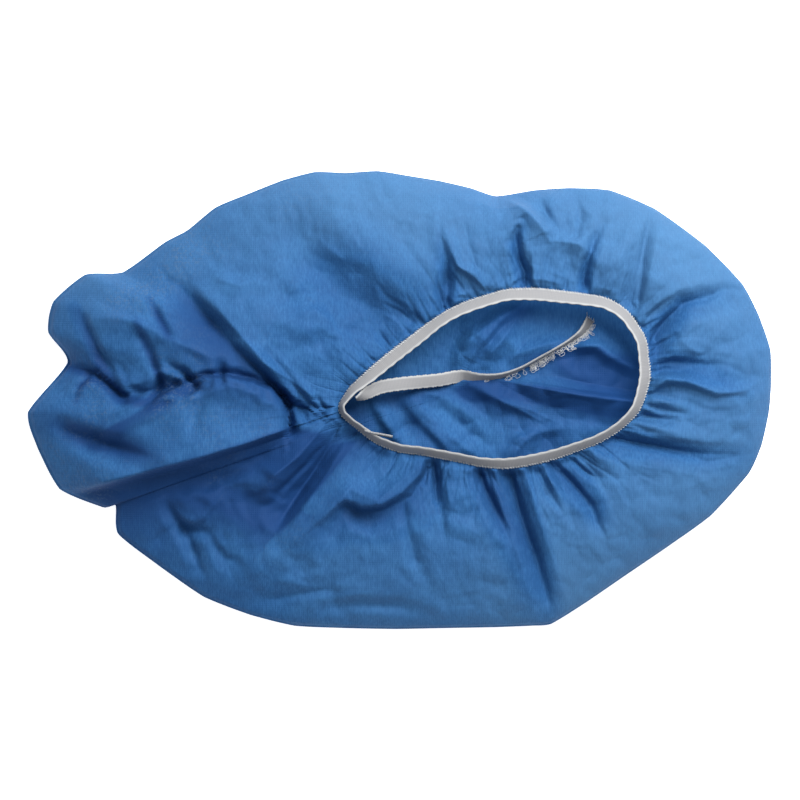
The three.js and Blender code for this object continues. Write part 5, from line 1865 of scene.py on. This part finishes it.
@dataclass
class TailThreads:
    """The chain of thread loops that hangs off the edge of the tail, and the frayed cut end."""

    tail: LooseTape
    radius: float = 0.000075
    seed: int = 11
    loops_at_turn: int = 16
    loops_at_end: int = 110
    loop_points: int = 12
    loop_width: float = 0.0019
    strands: int = 26
    strand_radius: float = 0.00009
    strand_seed: int = 17
    clearance: float = 0.0015

    def build(self, finish: bpy.types.Material) -> bpy.types.Object:
        """Make the threads.

        A loop leaves the tape's lower edge, goes out by its own length and comes back a little further
        along: at t from 0 to 1 it is out by sin(pi t), along by 1.3 (t - 0.5) + 0.9 sin(2 pi t), and up
        or down by its own share of sin(pi t). No loop goes into the sole.

        Args:
            finish: The thread's material.

        Returns:
            All the threads as one piece.
        """
        middle, across, face = self.tail.stations()
        steps = np.linalg.norm(np.diff(middle, axis=0), axis=1)
        along = np.concatenate([[0.0], np.cumsum(steps)])
        total = along[-1]
        chance = np.random.default_rng(self.seed)
        sparse = chance.uniform(0.5, 0.72, self.loops_at_turn) * total
        dense = chance.uniform(0.7, 0.985, self.loops_at_end) * total
        base = np.sort(np.concatenate([sparse, dense]))
        number = len(base)
        t = np.linspace(0, 1, self.loop_points)[None]
        wander = chance.uniform(-1.4, 1.6, (number, 1)) * self.loop_width
        place = base[:, None] + wander * (1.3 * (t - 0.5) + 0.9 * np.sin(TURN * t))
        reach = chance.uniform(0.0008, 0.0044, (number, 1))
        reach *= np.clip((base[:, None] / total - 0.45) / 0.25, 0.3, 1)
        place = np.clip(place, 0, total)
        spot = np.stack([np.interp(place, along, middle[:, axis]) for axis in range(3)], axis=-1)
        side = np.stack([np.interp(place, along, across[:, axis]) for axis in range(3)], axis=-1)
        out = side.copy()
        out[..., 2] = 0
        out /= np.maximum(np.linalg.norm(out, axis=2), 1e-9)[..., None]
        rise = chance.uniform(-0.2, 0.9, (number, 1)) * 0.0012
        swing = reach * np.sin(math.pi * t)
        edge = spot + side * (TAPE_WIDTH / 2) * chance.uniform(0.5, 1.0, (number, 1, 1))
        paths = edge + swing[..., None] * out
        paths[..., 2] += rise * np.sin(math.pi * t) + 0.0002
        ground = np.maximum(0, fold_heights(SOLE_FOLDS, paths[..., 0], paths[..., 1]))
        paths[..., 2] = np.maximum(paths[..., 2], ground + self.clearance)
        loop_points, loop_faces = tubes(paths, self.radius)
        frayed_points, frayed_faces = self._frayed(middle[-1], across[-1], middle[-1] - middle[-6])
        points = np.concatenate([loop_points, frayed_points])
        faces = np.concatenate([loop_faces, frayed_faces + len(loop_points)])
        return new_object("tail_threads", points, faces, finish)

    def _frayed(self, end: np.ndarray, across: np.ndarray, run: np.ndarray) -> tuple[np.ndarray, np.ndarray]:
        """Short bare strands that stick out of the cut end."""
        chance = np.random.default_rng(self.strand_seed)
        number = self.strands
        start = end + across * chance.uniform(-0.5, 0.5, (number, 1)) * TAPE_WIDTH
        run = run / np.linalg.norm(run)
        lean = chance.normal(0, 0.35, (number, 3)) * (1, 1, 0.5)
        length = chance.uniform(0.0006, 0.0026, (number, 1))
        t = np.linspace(0, 1, 6)[None, :, None]
        paths = start[:, None] + t * length[:, None] * run + t**2 * (lean * length)[:, None]
        paths -= 0.0006 * run
        return tubes(paths, self.strand_radius)


class NodeTree:
    """A short way to add and join shader nodes."""

    def __init__(self, tree: bpy.types.NodeTree) -> None:
        """Keep the tree that the nodes go into."""
        self.tree = tree

    def add(
        self, kind: str, inputs: dict[str | int, object] | None = None, **settings: object
    ) -> bpy.types.Node:
        """Add a node.

        Args:
            kind: The node's type name.
            inputs: Values or output sockets for its inputs, by name or number.
            **settings: The node's own settings.

        Returns:
            The node.
        """
        node = self.tree.nodes.new(kind)
        for name, value in settings.items():
            setattr(node, name, value)
        for name, value in (inputs or {}).items():
            if isinstance(value, bpy.types.NodeSocket):
                self.tree.links.new(value, node.inputs[name])
            else:
                node.inputs[name].default_value = value
        return node

    def math(self, operation: str, first: object, second: object = 0.0) -> bpy.types.NodeSocket:
        """Add a Math node and give its output."""
        return self.add("ShaderNodeMath", {0: first, 1: second}, operation=operation).outputs[0]

    def noise(
        self, place: object, scale: object, detail: float, roughness: float = 0.5
    ) -> bpy.types.NodeSocket:
        """Add a noise texture and give its height."""
        inputs = {"Vector": place, "Scale": scale, "Detail": detail, "Roughness": roughness}
        return self.add("ShaderNodeTexNoise", inputs).outputs[0]

    def weigh(self, first: object, share: float, second: object) -> bpy.types.NodeSocket:
        """Add two values, the first by its share and the second by the rest."""
        rest = self.math("MULTIPLY", second, 1 - share)
        return self.math("ADD", self.math("MULTIPLY", first, share), rest)

    def wave(self, value: object) -> bpy.types.NodeSocket:
        """Add a sine wave of a value, from -1 to 1."""
        return self.math("SINE", value)

    def mix(self, share: object, first: object, second: object) -> bpy.types.NodeSocket:
        """Mix two colours by a share and give the result."""
        return self.add("ShaderNodeMix", {0: share, 6: first, 7: second}, data_type="RGBA").outputs[2]

    def ramp(
        self, value: object, low: float, high: float, start: float = 0.0, end: float = 1.0
    ) -> bpy.types.NodeSocket:
        """Map a value from low..high to start..end, clipped."""
        inputs = {"Value": value, "From Min": low, "From Max": high, "To Min": start, "To Max": end}
        return self.add("ShaderNodeMapRange", inputs).outputs[0]


def new_group(
    name: str, inputs: dict[str, tuple[str, object]], outputs: dict[str, str]
) -> tuple[NodeTree, bpy.types.Node, bpy.types.Node]:
    """Start a shader node group.

    Args:
        name: Name of the group.
        inputs: Socket kind and default value by name.
        outputs: Socket kind by name.

    Returns:
        The group's tree, its input node and its output node.
    """
    tree = bpy.data.node_groups.new(name, "ShaderNodeTree")
    for label, (kind, value) in inputs.items():
        socket = tree.interface.new_socket(label, in_out="INPUT", socket_type="NodeSocket" + kind)
        socket.default_value = value
    for label, kind in outputs.items():
        tree.interface.new_socket(label, in_out="OUTPUT", socket_type="NodeSocket" + kind)
    nodes = NodeTree(tree)
    return nodes, nodes.add("NodeGroupInput"), nodes.add("NodeGroupOutput")


@dataclass(frozen=True)
class SurfaceEffects:
    """The node groups that the finishes share."""

    fibres: bpy.types.NodeTree
    grime: bpy.types.NodeTree

    @classmethod
    def make(cls) -> "SurfaceEffects":
        """Build both groups once."""
        return cls(cls._make_fibres(), cls._make_grime())

    @staticmethod
    def _make_fibres() -> bpy.types.NodeTree:
        """Randomly laid fibres: noise stretched in two directions, as a height and as flecks."""
        nodes, given, result = new_group(
            "laid_fibres",
            {"Vector": ("Vector", (0, 0, 0)), "Scale": ("Float", 900.0), "Fleck": ("Float", 0.5)},
            {"Height": "Float", "Fleck": "Float"},
        )
        heights = []
        for turn, seed in ((0.5, 0.0), (2.0, 7.0)):
            turned = {"Rotation": (0.0, 0.0, turn), "Scale": (1.0, 0.22, 0.6)}
            mapping = {"Vector": given.outputs["Vector"], **turned}
            placed = nodes.add("ShaderNodeMapping", mapping).outputs[0]
            noise = {"Scale": given.outputs["Scale"], "Detail": 3.0, "Roughness": 0.6, "W": seed}
            noise["Vector"] = placed
            heights.append(nodes.add("ShaderNodeTexNoise", noise, noise_dimensions="4D").outputs[0])
        both = nodes.math("MAXIMUM", heights[0], heights[1])
        height = nodes.ramp(both, 0.35, 0.8)
        fleck = nodes.math("MULTIPLY", nodes.math("SUBTRACT", both, 0.56), given.outputs["Fleck"])
        nodes.tree.links.new(height, result.inputs["Height"])
        nodes.tree.links.new(fleck, result.inputs["Fleck"])
        return nodes.tree

    @staticmethod
    def _make_grime() -> bpy.types.NodeTree:
        """Dust and dirt: fine specks gathered in patches, as a mask."""
        nodes, given, result = new_group(
            "grime",
            {
                "Vector": ("Vector", (0, 0, 0)),
                "Patch Scale": ("Float", 25.0),
                "Speck Scale": ("Float", 700.0),
                "Amount": ("Float", 0.5),
            },
            {"Mask": "Float"},
        )
        place = given.outputs["Vector"]
        patch = nodes.noise(place, given.outputs["Patch Scale"], 3.0)
        speck = nodes.noise(place, given.outputs["Speck Scale"], 2.0, 0.7)
        where = nodes.ramp(patch, 0.5, 0.68)
        fine = nodes.ramp(speck, 0.5, 0.68)
        mask = nodes.math("MULTIPLY", nodes.math("MULTIPLY", where, fine), given.outputs["Amount"])
        nodes.tree.links.new(mask, result.inputs["Mask"])
        return nodes.tree


@dataclass(frozen=True)
class ClothFinish:
    """Blue spun nonwoven: laid fibres, an embossed grid of bond points, and grey dust in places.

    One point attribute darkens it with painted shade in creases and under folds where it is above 0, and
    lightens it with painted light where it is below. The other is painted light: emission that fills the
    shadow which the mouth's rim casts on the sole.
    """

    colour: tuple[float, float, float, float] = (0.0265, 0.110, 0.272, 1.0)
    deep: tuple[float, float, float, float] = (0.0170, 0.080, 0.218, 1.0)
    # The painted shade colour, and below it the painted light colour.
    painted_shade: tuple[float, float, float, float] = (0.0068, 0.037, 0.136, 1.0)
    painted_light: tuple[float, float, float, float] = (0.084, 0.196, 0.330, 1.0)
    dust: tuple[float, float, float, float] = (0.075, 0.125, 0.20, 1.0)
    roughness: float = 0.7
    bond_pitch: float = 0.00105

    def make(self, effects: SurfaceEffects) -> bpy.types.Material:
        """Make the material."""
        material, nodes, shader = new_material("nonwoven_blue", self.roughness)
        place = nodes.add("ShaderNodeTexCoord")
        body = place.outputs["Object"]
        fibres = nodes.add("ShaderNodeGroup", node_tree=effects.fibres)
        nodes.tree.links.new(body, fibres.inputs["Vector"])
        fibres.inputs["Scale"].default_value = 1100.0
        fibres.inputs["Fleck"].default_value = 5.0
        cloud = nodes.noise(body, 60.0, 4.0, 0.6)
        tone = nodes.math("ADD", nodes.ramp(cloud, 0.3, 0.7, 0.15, 0.85), fibres.outputs["Fleck"])
        blue = nodes.mix(nodes.ramp(tone, 0.0, 1.0), self.deep, self.colour)
        # Painted shade where the attribute is above 0, painted light where it is below.
        layers = nodes.add("ShaderNodeAttribute", attribute_name="painted_shade").outputs["Fac"]
        blue = nodes.mix(nodes.ramp(layers, 0.0, 1.0, 0.0, 0.9), blue, self.painted_shade)
        blue = nodes.mix(nodes.ramp(layers, 0.0, -1.0, 0.0, 0.9), blue, self.painted_light)
        # Painted light: emission that fills the shadow of the rim on the sole.
        painted_fill_light = nodes.add("ShaderNodeAttribute", attribute_name="painted_fill_light").outputs["Fac"]
        nodes.tree.links.new(blue, shader.inputs["Emission Color"])
        nodes.tree.links.new(painted_fill_light, shader.inputs["Emission Strength"])
        grime = nodes.add("ShaderNodeGroup", node_tree=effects.grime)
        nodes.tree.links.new(body, grime.inputs["Vector"])
        grime.inputs["Amount"].default_value = 0.6
        heel = nodes.ramp(nodes.add("ShaderNodeSeparateXYZ", {0: body}).outputs[0], -0.02, -0.14, 0.12, 1.0)
        soiled = nodes.mix(nodes.math("MULTIPLY", grime.outputs["Mask"], heel), blue, self.dust)
        nodes.tree.links.new(soiled, shader.inputs["Base Color"])
        bonds = self._bonds(nodes, place.outputs["UV"])
        height = nodes.weigh(fibres.outputs["Height"], 0.6, bonds)
        bump = {"Strength": 0.7, "Distance": 0.0002, "Height": height}
        nodes.tree.links.new(nodes.add("ShaderNodeBump", bump).outputs[0], shader.inputs["Normal"])
        rough = nodes.ramp(cloud, 0.3, 0.7, self.roughness - 0.08, self.roughness + 0.08)
        nodes.tree.links.new(rough, shader.inputs["Roughness"])
        shader.inputs["Specular IOR Level"].default_value = 0.12
        return material

    def _bonds(self, nodes: NodeTree, cloth: bpy.types.NodeSocket) -> bpy.types.NodeSocket:
        """Staggered pits of the bond points: the product of two sine waves at 45 degrees to the cloth."""
        flat = nodes.add("ShaderNodeSeparateXYZ", {0: cloth})
        rate = TURN / self.bond_pitch / 2
        rising = nodes.math("ADD", flat.outputs[0], flat.outputs[1])
        falling = nodes.math("SUBTRACT", flat.outputs[0], flat.outputs[1])
        first = nodes.wave(nodes.math("MULTIPLY", rising, rate))
        second = nodes.wave(nodes.math("MULTIPLY", falling, rate))
        return nodes.ramp(nodes.math("MULTIPLY", first, second), -0.2, 0.9, 1.0, 0.0)


@dataclass(frozen=True)
class TapeFinish:
    """Off-white knitted elastic: fine ribs across it, a painted highlight along its edges and a little
    grime.
    """

    colour: tuple[float, float, float, float] = (0.250, 0.247, 0.250, 1.0)
    groove: tuple[float, float, float, float] = (0.218, 0.222, 0.232, 1.0)
    # Painted highlight along both edges of the tape.
    edge: tuple[float, float, float, float] = (0.375, 0.38, 0.38, 1.0)
    roughness: float = 0.7
    rib_pitch: float = 0.0007
    cord_pitch: float = 0.0009
    grime: tuple[float, float, float, float] = (0.24, 0.25, 0.26, 1.0)

    def make(self, effects: SurfaceEffects) -> bpy.types.Material:
        """Make the material."""
        material, nodes, shader = new_material("knitted_elastic", self.roughness)
        place = nodes.add("ShaderNodeTexCoord")
        flat = nodes.add("ShaderNodeSeparateXYZ", {0: place.outputs["UV"]})
        waver = nodes.noise(place.outputs["Object"], 450.0, 2.0)
        along = nodes.math("ADD", flat.outputs[0], nodes.math("MULTIPLY", waver, 0.0004))
        rib = nodes.ramp(nodes.wave(nodes.math("MULTIPLY", along, TURN / self.rib_pitch)), -1.0, 1.0)
        cord = nodes.wave(nodes.math("MULTIPLY", flat.outputs[1], TURN / self.cord_pitch))
        knit = nodes.weigh(rib, 0.75, nodes.ramp(cord, -1.0, 1.0))
        white = nodes.mix(nodes.ramp(knit, 0.1, 0.75), self.groove, self.colour)
        grime = nodes.add("ShaderNodeGroup", node_tree=effects.grime)
        nodes.tree.links.new(place.outputs["Object"], grime.inputs["Vector"])
        grime.inputs["Patch Scale"].default_value = 90.0
        grime.inputs["Amount"].default_value = 0.35
        # Painted highlight: brighter within about a millimetre of each edge.
        from_edge = nodes.math("ADD", flat.outputs[1], TAPE_WIDTH / 2)
        width = nodes.math("ABSOLUTE", nodes.math("PINGPONG", from_edge, TAPE_WIDTH / 2))
        rim = nodes.ramp(width, 0.0012, 0.0005)
        with_painted_highlight = nodes.mix(rim, white, self.edge)
        soiled = nodes.mix(grime.outputs["Mask"], with_painted_highlight, self.grime)
        nodes.tree.links.new(soiled, shader.inputs["Base Color"])
        bump = {"Strength": 0.5, "Distance": 0.00012, "Height": knit}
        nodes.tree.links.new(nodes.add("ShaderNodeBump", bump).outputs[0], shader.inputs["Normal"])
        return material


@dataclass(frozen=True)
class ThreadFinish:
    """White textured polyester thread."""

    colour: tuple[float, float, float, float] = (0.75, 0.75, 0.74, 1.0)
    shade: tuple[float, float, float, float] = (0.46, 0.48, 0.49, 1.0)
    roughness: float = 0.6

    def make(self, effects: SurfaceEffects) -> bpy.types.Material:
        """Make the material."""
        material, nodes, shader = new_material("white_thread", self.roughness)
        body = nodes.add("ShaderNodeTexCoord").outputs["Object"]
        fibres = nodes.add("ShaderNodeGroup", node_tree=effects.fibres)
        nodes.tree.links.new(body, fibres.inputs["Vector"])
        fibres.inputs["Scale"].default_value = 2600.0
        tone = nodes.mix(fibres.outputs["Height"], self.shade, self.colour)
        nodes.tree.links.new(tone, shader.inputs["Base Color"])
        bump = {"Strength": 0.5, "Distance": 0.00005, "Height": fibres.outputs["Height"]}
        nodes.tree.links.new(nodes.add("ShaderNodeBump", bump).outputs[0], shader.inputs["Normal"])
        return material


def new_material(name: str, roughness: float) -> tuple[bpy.types.Material, NodeTree, bpy.types.Node]:
    """Start a node material.

    Args:
        name: Name of the material.
        roughness: Roughness of its shader.

    Returns:
        The material, its tree and its Principled shader.
    """
    material = bpy.data.materials.new(name)
    material.use_nodes = True
    shader = material.node_tree.nodes["Principled BSDF"]
    shader.inputs["Roughness"].default_value = roughness
    return material, NodeTree(material.node_tree), shader


@dataclass
class Studio:
    """The camera straight above, a pale floor, and soft light from the upper right."""

    lens: float = 500.0
    sensor: float = 36.0
    view_width: float = 0.3877
    aim: tuple[float, float, float] = (0.00024, 0.0, 0.0025)
    key_from: tuple[float, float, float] = (0.34, 0.50, 0.72)
    key_size: float = 0.65
    key_power: float = 15.2
    sky: float = 0.54

    def place_camera(self) -> bpy.types.Object:
        """Put the camera over the object, with +Y up in the picture."""
        data = bpy.data.cameras.new("camera")
        data.lens = self.lens
        data.sensor_width = self.sensor
        data.clip_end = 20.0
        camera = bpy.data.objects.new("camera", data)
        height = self.view_width * self.lens / self.sensor
        camera.location = (self.aim[0], self.aim[1], self.aim[2] + height)
        bpy.context.scene.collection.objects.link(camera)
        bpy.context.scene.camera = camera
        return camera

    def light(self) -> None:
        """Add the soft key light and the pale surroundings."""
        data = bpy.data.lights.new("key", "AREA")
        data.shape = "DISK"
        data.size = self.key_size
        data.energy = self.key_power
        key = bpy.data.objects.new("key", data)
        key.location = self.key_from
        key.rotation_euler = (-Vector(self.key_from)).to_track_quat("-Z", "Y").to_euler()
        bpy.context.scene.collection.objects.link(key)
        world = bpy.data.worlds.new("pale")
        world.use_nodes = True
        background = world.node_tree.nodes["Background"]
        background.inputs["Color"].default_value = (0.95, 0.97, 1.0, 1.0)
        background.inputs["Strength"].default_value = self.sky
        scene = bpy.context.scene
        scene.world = world
        scene.view_settings.view_transform = "Standard"
        scene.view_settings.look = "None"

    def lay_floor(self) -> None:
        """Lay a wide white floor that hardly shows a shadow."""
        material, nodes, shader = new_material("pale_floor", 0.9)
        body = nodes.add("ShaderNodeTexCoord").outputs["Object"]
        speckle = nodes.add("ShaderNodeTexNoise", {"Vector": body, "Scale": 30.0}).outputs[0]
        white = nodes.mix(speckle, (0.93, 0.93, 0.93, 1.0), (0.95, 0.95, 0.95, 1.0))
        nodes.tree.links.new(white, shader.inputs["Base Color"])
        shader.inputs["Emission Color"].default_value = (1.0, 1.0, 1.0, 1.0)
        shader.inputs["Emission Strength"].default_value = 0.75
        corners = np.array([[-3, -3, 0], [3, -3, 0], [3, 3, 0], [-3, 3, 0]], dtype=float)
        new_object("floor", corners, np.array([[0, 1, 2, 3]]), material)


def dress(piece: bpy.types.Object, slot: str, *nodes: str) -> None:
    """Attach a piece to the body that it rides on, and hide the CAD solids that it stands for.

    Args:
        piece: The piece.
        slot: The record's material slot; not used.
        *nodes: The CAD nodes that it replaces.
    """
    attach(piece, BODY)
    if nodes:
        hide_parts(*nodes)
    LOG.info("%s: %d corners", piece.name, len(piece.data.vertices))


def main() -> None:
    """Build the shoe cover and its studio."""
    logging.basicConfig(level=logging.INFO, format="%(name)s %(message)s")
    studio = Studio()
    studio.place_camera()
    effects = SurfaceEffects.make()
    cloth = ClothFinish().make(effects)
    elastic = TapeFinish().make(effects)
    thread = ThreadFinish().make(effects)

    tail = LooseTape("elastic_tail_tape", TAIL)
    tail_piece = tail.build(elastic)
    dress(tail_piece, TAPE_SLOT, "elastic_tail")
    threads = TailThreads(tail).build(thread)
    dress(threads, TAPE_SLOT)
    path = tail.path()
    stub = LooseTape("elastic_stub_tape", STUB)
    dress(stub.build(elastic), TAPE_SLOT, "elastic_stub")

    ring = ElasticRing(Mouth(columns=1400, edge_weight=0.0))
    dress(ring.build(elastic), TAPE_SLOT, "elastic_band")
    dress(ring.stitches(thread), TAPE_SLOT)

    bag = ClothBag(Mouth())
    upper = bag.build(Layer.UPPER, cloth)
    sole = bag.build(Layer.SOLE, cloth)
    dress(upper, FABRIC_SLOT, "fabric_body")
    dress(sole, FABRIC_SLOT, "fabric_body")

    studio.light()
    studio.lay_floor()


if __name__ == "__main__":
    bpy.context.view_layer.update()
    main()
